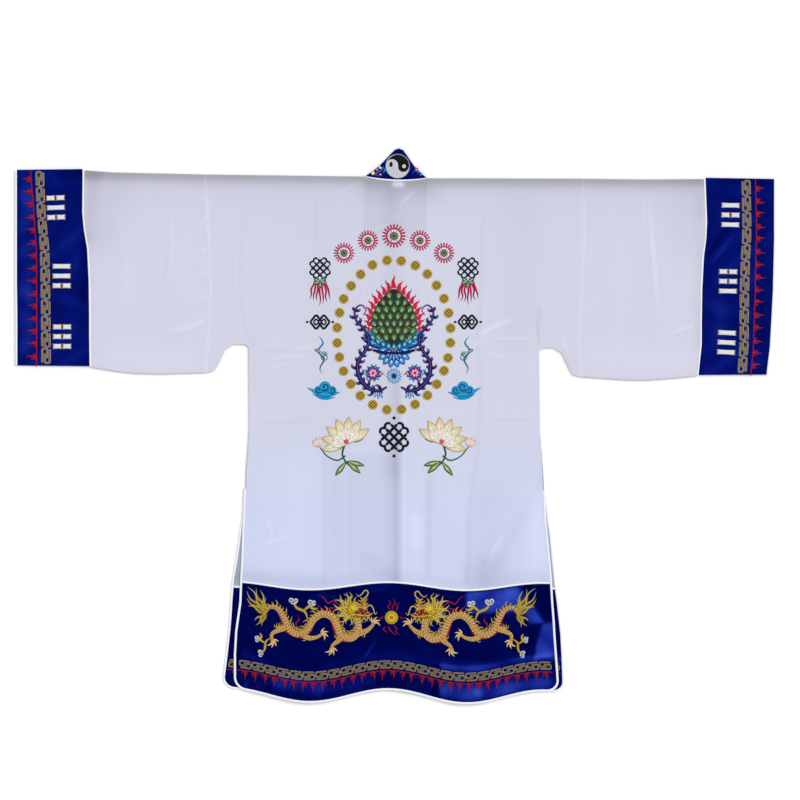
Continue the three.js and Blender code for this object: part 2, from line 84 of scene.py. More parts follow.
# x, lean, top, foot, half width, height, 1 if it stays high to its foot
FOLDS = [
    (-196, -10, 600, 1240, 74, 2.7, 1), (158, 12, 560, 1240, 70, 2.7, 1), (28, -4, 480, 1240, 26, 1.5, 1),
    (-70, -6, 700, 1240, 24, 1, 1), (292, 22, 760, 1240, 34, 1.3, 1), (-306, -12, 820, 1240, 30, 1.1, 1),
    (-30, 14, 60, 420, 40, 1.2, 0), (60, -20, 40, 300, 26, 1, 0), (300, 40, 250, 560, 34, 1.2, 0),
    (-290, -46, 230, 560, 36, 1.3, 0), (-545, 8, 40, 440, 40, 1.6, 0), (628, 10, 40, 430, 36, 1.6, 0),
    (-680, -10, 60, 440, 34, 1.4, 0), (530, -12, 50, 440, 30, 1.2, 0), (-838, 14, 60, 440, 46, 2, 0),
    (822, -22, 60, 440, 46, 2.2, 0),
]
MOST_RISE, DEEPEST, EDGE_FADE, CREASE_FADE = 2.8, 0.6, 45, 14
# as it is laid: how far down the lift fades, the hem's wave and the body's shift to the right
LIFT_FROM, LIFT_OVER, BODY_SHIFT = 500, 400, 6
WAVE_TOP, WAVE_HIGH, WAVE_AT, WAVE_LONG, WAVE_DROP, WAVE_TILT = 640, 16, -206, 376, 2.5, 0.008

# Creases and marks are placed as seen from above, in units of 2.4 mm from a corner beyond the left cuff.
UNIT, SEEN_X, SEEN_Y = 2.4, 394, 178
# from x, y to x, y, radius, height in mm, change of tone in levels of 255: painted light where above 0, painted
# shade where below
CREASES = [
    (170, 216, 163.7, 288, 1.5, 0.6, 5), (159.5, 240, 159.5, 288, 1.4, 0.4, 3),
    (162.7, 332.7, 204.7, 320, 3, 1.8, 7), (201.5, 252, 206, 249, 2, 0.8, 7),
    (196, 279, 208, 271, 2, 0.8, 6), (246.5, 208, 247.5, 342, 1.5, -0.5, -4),
    (267.7, 362, 305.5, 357, 2, 1.2, 8), (270, 367.5, 287, 365, 1.5, 0.8, 6),
    (295, 348.5, 312, 346, 1.6, 0.8, 6), (251, 347.5, 295, 348.5, 1.5, 0.5, 3),
    (345, 189, 360, 182.6, 2, 0.9, 7), (368.5, 231, 389.5, 222.5, 1.6, 0.8, 6),
    (396.4, 210.5, 415.6, 190.3, 2, 1.2, 8), (399.6, 204, 412.4, 193.5, 1.4, 0.8, 6),
    (388, 221, 399, 213, 1.8, 0.8, 5), (477.5, 337.5, 512.7, 320.4, 2.2, 1.6, 12),
    (490, 338.5, 535, 339.6, 1.6, 0.9, 7), (481.7, 353.5, 511.6, 355.6, 1.5, 0.8, 5),
    (471, 349, 484, 338.5, 1.8, 1, 8), (648, 197.7, 657.7, 317, 2.1, 0.9, 9),
    (645, 195, 646, 230, 1.2, 0.6, 5), (669.5, 335, 695, 326.8, 2, 1.2, 8), (657, 335, 668, 333, 2, 0.7, 4),
    (539, 306, 539.5, 347, 1.7, -0.8, -7), (565, 352, 570, 373, 1.6, 1, -5),
    (571, 349, 578, 371, 1.5, -0.8, -5), (673.7, 186, 680, 181, 1.5, 0.6, 5),
    (488, 562.7, 501.5, 537.7, 2, 1.4, 9), (479, 556, 487, 565, 2, 1, -7),
    (267, 518.5, 273.7, 538.9, 1.6, 0.8, 7), (259, 549, 286, 537.7, 1.8, 1, 7),
    (485.7, 421, 540, 419.9, 1.5, -0.5, -5), (250, 421, 315.7, 418.7, 1.5, -0.4, -4),
    (110, 205, 122, 330, 3, 0.35, 0), (607, 210, 603, 330, 3, 0.4, 0), (284, 240, 280, 330, 3, 0.3, 0),
    (503, 215, 505, 300, 3, 0.35, 0), (512, 600, 527, 613, 1.6, 1.1, 0), (527, 613, 542, 622, 1.6, 1.2, 0),
    (542, 622, 541, 655, 1.6, 1.1, 0), (518, 641, 541, 623, 1.7, 1, 0), (466, 612, 503, 606, 1.8, 1, 0),
    (366.4, 655.5, 374.5, 641.7, 1.4, 0.8, 0), (438, 660, 440, 700, 2.2, -1.2, 0),
    (250, 672, 254, 694, 1.6, 0.9, 0), (262, 674, 267, 698, 1.6, -0.9, 0),
    (274, 675, 279, 700, 1.8, 0.9, 0), (386, 668, 385, 690, 2.4, -0.9, 0), (708, 255, 728, 226, 2, -1, 0),
    (712, 262, 733, 234, 1.8, 0.9, 0), (704, 240, 716, 222, 1.8, 0.8, 0), (20, 329, 31, 340, 1.3, 0.7, 0),
    (18, 336, 28, 347, 1.3, 0.7, 0), (76, 232, 80, 300, 3.2, 0.9, 0), (66, 250, 69, 300, 2.6, -0.6, 0),
    (744, 330, 757, 350, 2, 0.7, 0), (196, 196, 212, 204, 1.8, 0.8, 5), (208, 210, 199, 226, 1.8, 0.8, 5),
    (203, 232, 214, 240, 1.7, 0.7, 4), (546, 344, 560, 356, 1.8, 0.9, 6),
    (552, 362, 563, 372, 1.7, -0.8, -5), (561, 341, 568, 352, 1.8, 0.8, 5),
    (541, 366, 552, 377, 1.8, 0.7, 5), (188, 262, 206, 258, 1.8, 0.5, 3), (590, 300, 606, 306, 1.8, 0.5, 3),
    (200, 300, 212, 293, 1.8, 0.6, 4), (530, 300, 545, 310, 1.8, 0.4, 3),
]
# from x, y to x, y, radius, tone: broad painted shade and painted light on the white cloth, some of it where
# layers beneath show through, and a light patch where a label beneath shows through
SHADES = [
    (391, 196, 394, 470, 10, -9), (394, 440, 396, 585, 9, -9.5), (396.5, 380, 397.5, 585, 3.6, -9),
    (404, 400, 403.5, 585, 2.6, 9), (415, 520, 415, 542, 8, 8), (429.5, 470, 428, 575, 3.6, -8),
    (337, 462, 337, 584, 10, -5), (324, 440, 324, 582, 2.4, -5), (315.5, 204, 315.5, 240, 2, -6),
    (349, 462, 349, 580, 2.6, -3), (483, 219, 480, 300, 2.3, -5), (479.5, 306, 477.5, 348, 2.3, -5),
    (478, 354, 481, 383, 2.3, -5), (480.6, 389, 477, 452, 2.3, -6), (475.6, 458, 470.4, 505, 2.4, -7),
    (469.6, 511, 467, 582, 2.6, -9), (487, 500, 486, 575, 15, -4), (488, 565, 484, 584, 14, -8),
    (536, 492, 538, 560, 12, 8), (541, 479, 497, 567, 4.5, -5), (370, 188, 430, 192, 12, -9),
    (330, 240, 330, 400, 60, -2), (92, 178, 87, 236, 8, -10), (87, 236, 88, 330, 6, -5),
    (701, 176, 700, 212, 8, -5), (700, 200, 699, 345, 5.5, -7), (242, 576, 318, 582, 9, -8),
    (470, 572, 500, 578, 12, -7), (395.5, 183.9, 401.5, 183.9, 3, 58), (90, 176, 92, 240, 13, -4),
    (370, 560, 392, 580, 10, -7), (372, 185, 424, 187, 6, -6), (660, 174, 696, 178, 5, -6),
    (300, 470, 290, 560, 22, 3), (120, 355, 190, 360, 12, 4), (600, 355, 680, 360, 12, 4),
    (112, 182, 106, 235, 20, -6), (684, 180, 682, 240, 18, -5), (520, 215, 522, 330, 24, -4),
    (86, 176, 98, 176, 5, -12),
]
# left and right edge at the top, the same at the foot, y from and to, tone: where another layer shows through
PANELS = [
    (364, 427, 362, 427, 176, 250, -8), (350, 397.5, 350, 397.5, 450, 640, -6),
    (324, 350, 324, 350, 455, 640, -2), (478, 545, 466, 548, 430, 640, -2),
]
# from x, y to x, y, radius, change of gleam: painted highlight where above 0 and painted shade where below, on
# the satin between dark navy at 0 and bright blue at 1
GLEAMS = [
    (530, 634, 521, 645, 8, -0.2), (545, 592, 549, 613, 7, -0.2), (366.4, 655.5, 374.5, 641.7, 1.4, 0.35),
    (312, 596, 335, 598, 3.5, 0.16), (372, 590, 386, 588, 3.5, 0.25), (244, 654, 268, 664, 3.5, 0.22),
    (281, 682, 318, 688, 8, 0.38), (330, 688, 372, 682, 6, 0.16), (446, 690, 474, 694, 9, 0.5),
    (482, 692, 548, 684, 8, 0.4), (246, 684, 249, 694, 2, 0.25), (258, 686, 261, 697, 2, 0.25),
    (269, 686, 273, 698, 1.8, -0.2), (436, 668, 436, 698, 4, -0.35), (386, 676, 396, 692, 10, -0.12),
    (388, 655, 424, 655, 9, 0.1), (708, 256, 728, 227, 2.2, -0.22), (712, 263, 733, 235, 1.8, 0.1),
    (86, 236, 84, 300, 5, -0.16), (66, 236, 70, 246, 9, 0.05), (725, 300, 722, 325, 10, 0.08),
    (26, 190, 25, 350, 8, 0.16), (762, 200, 760, 340, 5, -0.12), (716, 186, 712, 215, 7, -0.06),
    (60, 175, 90, 176, 5, -0.12), (720, 180, 765, 182, 4, -0.12),
]
# gleam, how soft its edge is, and the corners of the patch that gleams: painted highlights on the satin
GLINTS = [
    (0.71, 6, (465, 588), (518, 586), (523, 612), (467, 614)),
    (0.62, 5, (506, 588), (518, 586), (545, 623), (531, 624)),
    (0.78, 6, (487, 587), (514, 587), (519, 597), (494, 599)),
    (0.58, 4, (542, 624), (555, 621), (556, 655), (534, 660), (537, 641)),
    (0.12, 3, (441, 656), (500, 664), (500, 674), (441, 669)),
]


def smooth(t):
    c = np.clip(t, 0, 1)
    return c * c * (3 - 2 * c)


def lerp(a, b, t):
    return a + (b - a) * t


def side_of(down, x, layer):
    left, right = (1, 2) if layer == "Back" else (3, 4)
    column = lambda c: np.interp(down, SIDES[:, 0], SIDES[:, c])
    return np.where(np.asarray(x) < 0, column(left), column(right))


def depth_at(x):
    return np.interp(np.abs(x), DEPTHS[:, 0], DEPTHS[:, 1])


def neckline(x):
    return -FOLD_R - NECK_DIP * (1 - (x / FRONT_EDGE) ** 2)


def collar_seam(x):
    return COLLAR_START - COLLAR_SAG * (1 - (x / FRONT_EDGE) ** 2)


def sway(x, y):
    """How far a point of a sleeve lies outwards of straight."""
    out, down = np.abs(x), -y
    column = lambda c: np.interp(down, SWAYS[:, 0], SWAYS[:, c])
    sleeve, seam, end = (np.where(x < 0, column(c), column(c + 3)) for c in (1, 2, 3))
    head = sleeve * (out - SWAY_START) / (SLEEVE_SEAM - SWAY_START)
    arm = lerp(sleeve, seam, (out - SLEEVE_SEAM) / (CUFF_SEAM - SLEEVE_SEAM))
    cuff = lerp(seam, end, (out - CUFF_SEAM) / (CUFF_END - CUFF_SEAM))
    beyond = np.where(out < CUFF_SEAM, arm, cuff)
    return np.where(out <= SWAY_START, 0, np.where(out < SLEEVE_SEAM, head, beyond))


def laid(x, y):
    """Where a point of the straight garment comes to lie."""
    fade = 1 - smooth((-y - LIFT_FROM) / LIFT_OVER)
    lift = np.interp(x, LIFTS[:, 0], LIFTS[:, 1]) * fade
    share = np.clip((-y - WAVE_TOP) / (BAND_BOTTOM - WAVE_TOP), 0, 1)
    wave = -(WAVE_HIGH * np.cos(2 * np.pi * (x - WAVE_AT) / WAVE_LONG) + WAVE_DROP + WAVE_TILT * x) * share
    shift = BODY_SHIFT * np.maximum(0, 1 - np.abs(x) / CHEST)
    up = np.clip(y / COLLAR_WIDE, 0, 1)
    collar = COLLAR_LEAN * up - COLLAR_WAIST * np.sin(np.pi * up) * x
    return x + np.sign(x) * sway(x, y) + shift + collar, y + lift + wave


def straight(x, y):
    """The point of the straight garment that comes to lie at x, y."""
    gx, gy = np.array(x, float), np.array(y, float)
    for _ in range(8):
        px, py = laid(gx, gy)
        gx, gy = gx + x - px, gy + y - py
    return gx, gy


def strokes(x, y, rows, column, crease=False, sharp=1.0):
    """Adds up soft strokes at x, y as seen from above. A crease is a little bowed and tapers to both ends."""
    total = np.zeros(np.shape(x))
    for k, row in enumerate(rows):
        x0, y0, x1, y1, radius = row[:5]
        dx, dy = x1 - x0, y1 - y0
        t = np.clip(((x - x0) * dx + (y - y0) * dy) / (dx * dx + dy * dy), 0, 1)
        share = np.sqrt(4 * t * (1 - t)) if crease else np.ones(t.shape)
        bow = 0.06 * (k % 3 - 1) * share**2 if crease else 0 * t
        far = (x - x0 - t * dx + bow * dy) ** 2 + (y - y0 - t * dy - bow * dx) ** 2
        total += row[column] * share * np.exp(-((far / (radius * (0.4 + 0.6 * share)) ** 2) ** sharp))
    return total


def panels(x, y):
    """Adds up the tones of the panels at x, y as seen from above."""
    total = np.zeros(np.shape(x))
    for left0, right0, left1, right1, y0, y1, tone in PANELS:
        t = np.clip((y - y0) / (y1 - y0), 0, 1)
        from_left, from_right = x - lerp(left0, left1, t), lerp(right0, right1, t) - x
        inside = smooth(from_left / 3 + 0.5) * smooth(from_right / 3 + 0.5)
        total += tone * inside * smooth((y - y0) / 9) * smooth((y1 - y) / 20)
    return total


def glints(x, y):
    """The painted highlight of the brightest patch at x, y as seen from above."""
    total = np.zeros(np.shape(x))
    for level, soft, *corners in GLINTS:
        inside = np.full(np.shape(x), 1e9)
        for (x0, y0), (x1, y1) in zip(corners, corners[1:] + corners[:1]):
            dx, dy = x1 - x0, y1 - y0
            inside = np.minimum(inside, (dx * (y - y0) - dy * (x - x0)) / math.hypot(dx, dy))
        total = np.maximum(total, level * smooth(inside / soft + 0.5))
    return total


def seen(px, py):
    return SEEN_X + px / UNIT, SEEN_Y - py / UNIT


def rise(x, y):
    """How far the upper layer rises in its folds and creases."""
    down = -y
    total = np.zeros(np.shape(x))
    for at, lean, top, foot, wide, high, stays in FOLDS:
        along = (down - top) / (foot - top)
        across = (x - at - lean * along) / wide
        length = smooth(along * 1.3) if stays else np.sin(np.pi * np.clip(along, 0, 1)) ** 2
        total += high * np.where(along > 0, length, 0) * np.exp(-across * across)
    out = np.abs(x)
    side = side_of(down, x, "Back") - out + np.maximum(0, ARMPIT - down)
    near = np.minimum(down, np.where((out > CHEST) & (down < ARMPIT), depth_at(x) - down, side))
    folds = MOST_RISE * np.tanh(total / MOST_RISE) * smooth(near / EDGE_FADE)
    fade = smooth(near / CREASE_FADE)
    creases = strokes(*seen(*laid(x, y)), CREASES, 5, True) * fade
    return np.maximum(folds + creases, -DEEPEST * fade)


def on_layer(x, y, upper, thick):
    """Points of a wall's middle surface: place, way out, place in the straight garment, length of cloth."""
    x, y = np.broadcast_arrays(x * 1.0, y * 1.0)
    px, py = laid(x, y)
    zero = np.zeros(x.shape)
    z = thick / 2 + (UPPER + rise(x, y) if upper else zero)
    return np.stack([px, py, z, zero, zero, zero + (1 if upper else -1), x, y, y if upper else -y], -1)


def on_fold(x, edge, way, turn, thick):
    """Points of the fold at the shoulder, way 1, or underneath, way -1. Turn is -1 on the lower layer."""
    x, edge, turn = (np.array(v) for v in np.broadcast_arrays(x * 1.0, edge * 1.0, turn * 1.0))
    angle = turn * np.pi / 2
    y = edge - way * FOLD_R * (1 - np.cos(angle))
    px, py = laid(x, y)
    z = thick / 2 + FOLD_R * (1 + np.sin(angle))
    along = -FOLD_R * turn if way > 0 else edge - 2 * FOLD_R * (1 - turn)
    return np.stack([px, py, z, 0 * x, way * np.cos(angle), np.sin(angle), x, y, along], -1)


# Where the garment's own plane lies in the frame, from a solid whose place in it is known.
low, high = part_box("collar_roundel")
roundel_x, roundel_y = laid(*(np.array(v) for v in ROUNDEL_AT))
SHIFT_X = (low.x + high.x) * 500 - float(roundel_x)
SHIFT_Y = (low.y + high.y) * 500 - float(roundel_y)


def to_frame(points):
    """Millimetres in the garment's plane to metres in the frame."""
    moved = np.array(points, float)
    moved[..., 0] += SHIFT_X
    moved[..., 1] += SHIFT_Y
    return moved / 1000


# ---------------------------------------------------------------- materials
CRUMPLE = 2.2
WAVES_PER_PITCH = 0.314


def feed(tree, made, *values, **settings):
    """Gives a node its inputs, in order or by name, from nodes, sockets or constants, and its settings."""
    inputs = dict(enumerate(values))
    for key, value in settings.items():
        name = key.replace("_", " ")
        if name in made.inputs:
            inputs[name] = value
        else:
            setattr(made, key, value)
    for name, value in inputs.items():
        if isinstance(value, bpy.types.Node):
            value = value.outputs["Fac" if "Fac" in value.outputs else 0]
        if isinstance(value, bpy.types.NodeSocket):
            tree.links.new(value, made.inputs[name])
        else:
            made.inputs[name].default_value = value
    return made


def node(tree, kind, *values, **settings):
    return feed(tree, tree.nodes.new("ShaderNode" + kind), *values, **settings)


def new_material(name):
    material = bpy.data.materials.new(name)
    material.use_nodes = True
    return material, material.node_tree, material.node_tree.nodes["Principled BSDF"]


def streaked(tree, place, scale, detail, stretch, spread, **span):
    """The mesh's own colour, a little lighter and darker in streaks along one way of the cloth or thread."""
    stretched = node(tree, "Mapping", place, Scale=(1.0, stretch, 1.0))
    streaks = node(tree, "TexNoise", stretched, Scale=scale, Detail=detail)
    level = node(tree, "MapRange", streaks, To_Min=1 - spread, To_Max=1 + spread, **span)
    tint = node(tree, "Attribute", attribute_name="tint")
    return node(tree, "VectorMath", tint.outputs["Color"], operation="SCALE", Scale=level)


def cloth_material(name, rough, sheen, pitch, strength, depth, spread, **more):
    """Cloth with faint streaks of yarn, a plain weave of the given pitch in metres, slubs and a sheen."""
    material, tree, shader = new_material(name)
    place = node(tree, "UVMap", uv_map="cloth")
    warp, weft = (
        node(tree, "TexWave", place, wave_type="BANDS", bands_direction=way, Scale=WAVES_PER_PITCH / pitch,
             Distortion=0.6)
        for way in "XY"
    )
    slub = node(tree, "TexNoise", place, Scale=140.0, Detail=3.0)
    crumple = node(tree, "TexNoise", place, Scale=26.0, Detail=2.0, Distortion=1.5)
    cross = node(tree, "Math", warp, weft, operation="MAXIMUM")
    both = node(tree, "Math", cross, 0.6, slub, operation="MULTIPLY_ADD")
    rumpled = node(tree, "Math", crumple, CRUMPLE, both, operation="MULTIPLY_ADD")
    bump = node(tree, "Bump", Strength=strength, Distance=depth, Height=rumpled)
    feed(tree, shader, Base_Color=streaked(tree, place, 90.0, 4.0, 0.12, spread), Normal=bump,
         Roughness=rough, Sheen_Weight=sheen, Sheen_Roughness=0.4, **more)
    return material


def thread_material():
    """Satin-stitched thread with fine ridges across each stroke."""
    material, tree, shader = new_material("thread")
    place = node(tree, "UVMap", uv_map="thread")
    ridges = node(tree, "TexWave", place, wave_type="BANDS", bands_direction="X", Scale=620.0, Distortion=1.2)
    colour = streaked(tree, place, 650.0, 3.0, 0.15, 0.2, From_Min=0.25, From_Max=0.75)
    bump = node(tree, "Bump", Strength=0.5, Distance=0.0002, Height=ridges)
    feed(tree, shader, Base_Color=colour, Normal=bump, Roughness=0.42, Specular_IOR_Level=0.1)
    return material


WHITE_CLOTH = cloth_material("white_cloth", 0.7, 0.08, 0.0011, 0.25, 0.0004, 0.02)
NAVY_SATIN = cloth_material("navy_satin", 0.33, 0.0, 0.0008, 0.2, 0.0003, 0.14,
                            Specular_Tint=(0.004, 0.012, 1.0, 1.0))
WHITE_TRIM = cloth_material("white_trim", 0.5, 0.1, 0.0008, 0.4, 0.0004, 0.03)
THREAD = thread_material()


def linear(colour):
    """sRGB levels of 255 to linear light."""
    c = np.clip(np.asarray(colour, float) / 255, 0, 1)
    return np.where(c <= 0.04045, c / 12.92, ((c + 0.055) / 1.055) ** 2.4)


# ---------------------------------------------------------------- colours over the cloth
SLEEVE_WHITE, BODY_WHITE, SKIRT_CHANGE = (206.0, 206, 225), (205.0, 207, 225), (-4.5, 0.5, 11)
# tone and reach: painted shade along the shoulder fold, its haze, less blue in that shade, light by the sleeve
# seam where its allowance shows through, grey above hem
FOLD_SHADE, FOLD_SHADE_HAZE, FOLD_SHADE_BLUE, SEAM_LIGHT, HEM_GREY = (34, 19), (14, 46), (8, 26), (15, 2.6), (6, 14)
HEM_LINE, UNDER_DOWN, BODY_HALF, SKIRT_FROM = 963, 6, 330, 480
SATIN_STOPS = [(0, 0.45, 1), (0, 3, 52), (1, 17, 76), (43, 98, 186)]  # gleam, then red, green and blue
# base level of the painted highlight on the hem and on the cuffs, strength of the painted sheen of crumples,
# reach of the painted shade along the edges
HEM_GLEAM, CUFF_GLEAM, CRUMPLE_SHEEN, EDGE_SHADE = 0.1, 0.415, 0.16, 5.5


def bell(t):
    return np.exp(-(t**2))


def white_tint(x, y, px, py, up):
    """The white cloth: cooler in the body, painted shade along the shoulder fold, painted light and shade along
    its creases and in broad patches, light along the sleeve seam.
    """
    sx, sy = seen(px, py)
    body = (1 - smooth((np.abs(x) - BODY_HALF) / 60))[..., None]
    colour = lerp(np.array(SLEEVE_WHITE), np.array(BODY_WHITE), body)
    colour = colour + smooth((-y - SKIRT_FROM) / 420)[..., None] * np.array(SKIRT_CHANGE)
    # painted light and shade along the creases and in broad patches, and the layers beneath where they show
    # through
    tone = strokes(sx, sy, CREASES, 6, True) + strokes(sx, sy, SHADES, 5) + panels(sx, sy)
    down = np.where(up > 0.05, np.maximum(-y, 0), UNDER_DOWN)
    # painted shade along the shoulder fold, with its haze and its loss of blue
    tone = tone - FOLD_SHADE[0] * bell(down / FOLD_SHADE[1]) - FOLD_SHADE_HAZE[0] * np.exp(-down / FOLD_SHADE_HAZE[1])
    tone = tone - HEM_GREY[0] * bell((-y - HEM_LINE) / HEM_GREY[1])
    colour[..., 2] -= FOLD_SHADE_BLUE[0] * bell(down / FOLD_SHADE_BLUE[1])
    tone = tone + SEAM_LIGHT[0] * bell((np.abs(x) - SLEEVE_SEAM) / SEAM_LIGHT[1])
    return colour + tone[..., None]


def navy_tint(x, y, px, py, up):
    """The satin: dark navy with painted highlights of brighter blue and painted shade in streaks and patches,
    and painted shade along its edges.
    """
    sx, sy = seen(px, py)
    hem = -y > 600
    # painted highlight: a base level for the hem and the cuffs, with painted streaks and patches of highlight
    # and shade
    gleam = np.where(hem, HEM_GLEAM, CUFF_GLEAM) + strokes(sx, sy, GLEAMS, 5, sharp=1.7) + glints(sx, sy)
    # painted highlight above and below the hem's borders, most of all to the right
    right = smooth((sx - 438) / 3)
    above = bell((-y - 1160) / 8.5) * (smooth((sx - 322) / 5) * 0.16 + right * 0.3)
    below = smooth((-y - 1192) / 5) * (0.07 + 0.08 * right)
    # painted sheen and shade of small crumples over the satin
    crumple_sheen = np.sin(x * 0.05 + 3 * np.sin(y * 0.023 + 1)) * np.sin(y * 0.041 + 2 * np.sin(x * 0.019))
    gleam = (gleam + np.where(hem, above + below, 0)) * (1 + CRUMPLE_SHEEN * crumple_sheen) + 0.03 * crumple_sheen
    # painted shade along the satin's seams and edges
    cuff_edge = np.minimum(np.abs(x) - CUFF_SEAM - STRIP_WIDE, CUFF_END - np.abs(x))
    hem_edge = np.minimum(-y - BAND_TOPS["Back"] - STRIP_WIDE, BAND_BOTTOM + y)
    neck_edge = np.minimum(y + 2, COLLAR_WIDE - y)
    near = np.where(hem, hem_edge, np.where(np.abs(x) < 300, neck_edge, cuff_edge))
    gleam = gleam * (0.35 + 0.65 * smooth(near / EDGE_SHADE))
    return np.stack([np.interp(gleam, SATIN_STOPS[0], levels) for levels in SATIN_STOPS[1:]], -1)


def trim_tint(x, y, px, py, up):
    return np.full(x.shape + (3,), (236.0, 238, 246))


# ---------------------------------------------------------------- cloth shells
made, cuts = {}, {}
SHARP = math.radians(50)


def new_mesh(name, points, faces, layer, uv, colour):
    """A mesh from points in millimetres, with a UV place for each corner and a tint for each vertex."""
    mesh = bpy.data.meshes.new(name)
    mesh.from_pydata(to_frame(points).tolist(), [], faces)
    mesh.uv_layers.new(name=layer).data.foreach_set("uv", uv.astype(np.float32).ravel())
    rgba = np.ones((len(colour), 4), np.float32)
    rgba[:, :3] = linear(colour)
    mesh.attributes.new("tint", "FLOAT_COLOR", "POINT").data.foreach_set("color", rgba.ravel())
    mesh.shade_smooth()
    return mesh


def make_object(name, mesh, material):
    mesh.materials.append(material)
    piece = bpy.data.objects.new(name, mesh)
    bpy.context.scene.collection.objects.link(piece)
    return piece


def take_place(name, mesh, material):
    """Puts a closed mesh in the place of the solid of that name."""
    mesh.set_sharp_from_angle(angle=SHARP)
    mesh.update()
    made[name] = make_object(name + "_cloth", mesh, material)
    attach(made[name], "root")
    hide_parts(name)


def ring_of(corners):
    """Each corner of a face with the next one round it."""
    return np.stack([corners, np.roll(corners, -1, 1)], -1).reshape(-1, 2)


def shell(name, material, tint, blocks, thick, swells=None, under=False):
    """Joins blocks of middle-surface points into one closed wall that takes the solid's place."""
    points = np.concatenate([b.reshape(-1, 9) for b in blocks])
    swell = np.concatenate([s.ravel() for s in swells]) if swells else np.zeros(len(points))
    key = np.round(points[:, :3] * 100 + 0.137).astype(np.int64)
    _, first, inverse = np.unique(key, axis=0, return_index=True, return_inverse=True)
    raws, start = [], 0
    for b in blocks:
        raw = np.arange(start, start + b.shape[0] * b.shape[1]).reshape(b.shape[:2])
        raws.append(np.stack([raw[:-1, :-1], raw[:-1, 1:], raw[1:, 1:], raw[1:, :-1]], -1).reshape(-1, 4))
        start += raw.size
    raw = np.concatenate(raws)
    quad = inverse.ravel()[raw]
    good = np.all(quad != np.roll(quad, 1, 1), 1)
    raw, quad = raw[good], quad[good]
    unique, swell = points[first], swell[first]
    place, way = unique[:, :3], unique[:, 3:6]
    across = np.cross(place[quad[:, 1]] - place[quad[:, 0]], place[quad[:, 3]] - place[quad[:, 0]])
    turned_over = np.einsum("ij,ij->i", across, way[quad].sum(1)) < 0
    quad[turned_over], raw[turned_over] = quad[turned_over][:, ::-1], raw[turned_over][:, ::-1]
    n = len(unique)
    low_swell = swell * np.maximum(0, -way[:, 2]) if under else 0 * swell
    top = place + way * (thick / 2 + swell * np.maximum(0, way[:, 2]))[:, None]
    bottom = place - way * (thick / 2 + low_swell)[:, None]
    edge, raw_edge = ring_of(quad), ring_of(raw)
    open_edge = ~np.isin(edge[:, 0] * n + edge[:, 1], edge[:, 1] * n + edge[:, 0])
    edge, raw_edge = edge[open_edge], raw_edge[open_edge]
    walls = np.stack([edge[:, 1], edge[:, 0], edge[:, 0] + n, edge[:, 1] + n], -1)
    faces = np.concatenate([quad, quad[:, ::-1] + n, walls])
    corners = np.concatenate([raw, raw[:, ::-1], raw_edge[:, [1, 0, 0, 1]]])
    flat = points[:, [6, 8]] / 1000
    one, other = flat[raw[:, 2]] - flat[raw[:, 0]], flat[raw[:, 3]] - flat[raw[:, 1]]
    area = np.abs(one[:, 0] * other[:, 1] - one[:, 1] * other[:, 0]).sum() / 2
    cuts[name] = (*np.ptp(flat, axis=0).tolist(), float(area))
    both, uv = np.concatenate([top, bottom]), flat[corners.ravel()]
    colour = np.tile(tint(*unique[:, [6, 7, 0, 1, 5]].T), (2, 1))
    take_place(name, new_mesh(name + "_cloth", both, faces.tolist(), "cloth", uv, colour), material)


def spaced(start, end, step):
    return np.linspace(start, end, max(2, round(abs(end - start) / step) + 1))


FINE, COARSE = 4.6, 24.0
TURNS = np.linspace(-1, 1, 7)
CORNER = np.array([21, 18, 15, 12, 9.5, 7, 5, 3.5, 2, 1, 0.3, 0])
TRUNK_PARTS, BAND_PARTS = np.linspace(0, 1, 56), np.linspace(0, 1, 46)
CENTRE = np.array([0.0, 6, 12, 18, 24, 30, 36, 42, 48, 55, 60, 66, FRONT_EDGE])
NECK = np.concatenate([-CENTRE[:0:-1], [0], CENTRE[1:]])
HEAD = [*spaced(CHEST, SWAY_START, FINE), *spaced(SWAY_START, 446, FINE)[1:], 448, 449.5, 450.7, 451.85]
ARM = [452.15, 453.3, 454.5, 456, *spaced(459, CUFF_SEAM - 1, FINE), CUFF_SEAM]
CUFF = spaced(CUFF_SEAM + STRIP_WIDE, CUFF_END, FINE)
BACK_PARTS, FRONT_PARTS = np.linspace(0, 1, 98), np.linspace(1, 0, 20)
ROWS = {
    layer: np.unique([*spaced(ARMPIT, BAND_TOPS[layer], step), *SIDES[1:9, 0]])
    for layer, step in (("Back", FINE), ("Front", COARSE))
}
ROWS["Back"] = ROWS["Back"][ROWS["Back"] <= BAND_TOPS["Back"]]
ROUND = np.linspace(0, 1, 7)
SWELL = STRIP_SWELL * np.sin(np.pi * ROUND)
SLOPE = math.sqrt(0.5)
COLLAR_BULGE = 2.8


def length_along(line):
    return np.concatenate([[0], np.cumsum(np.hypot(*np.diff(line, axis=0).T))])


def evenly(line, step, least=2):
    """The same line with its points at even steps, its corners rounded by no more than a step."""
    length = length_along(line)
    keep = np.concatenate([[True], np.diff(length) > 1e-6])
    at = np.linspace(0, length[-1], max(least, round(length[-1] / step) + 1))
    return np.stack([np.interp(at, length[keep], line[keep][:, i]) for i in (0, 1)], -1)


def headings(line):
    """The direction at each point of a line, and the one to its left where y runs up."""
    way = np.gradient(line, axis=0)
    way /= np.maximum(np.hypot(*way.T), 1e-9)[:, None]
    return way, np.stack([-way[:, 1], way[:, 0]], -1)


def trunk(side):
    """Distances out across a row whose side edge is given, close together at its corner."""
    side = np.atleast_1d(side)[:, None]
    return np.hstack([FRONT_EDGE + (side - CORNER_R - FRONT_EDGE) * TRUNK_PARTS, side - CORNER])


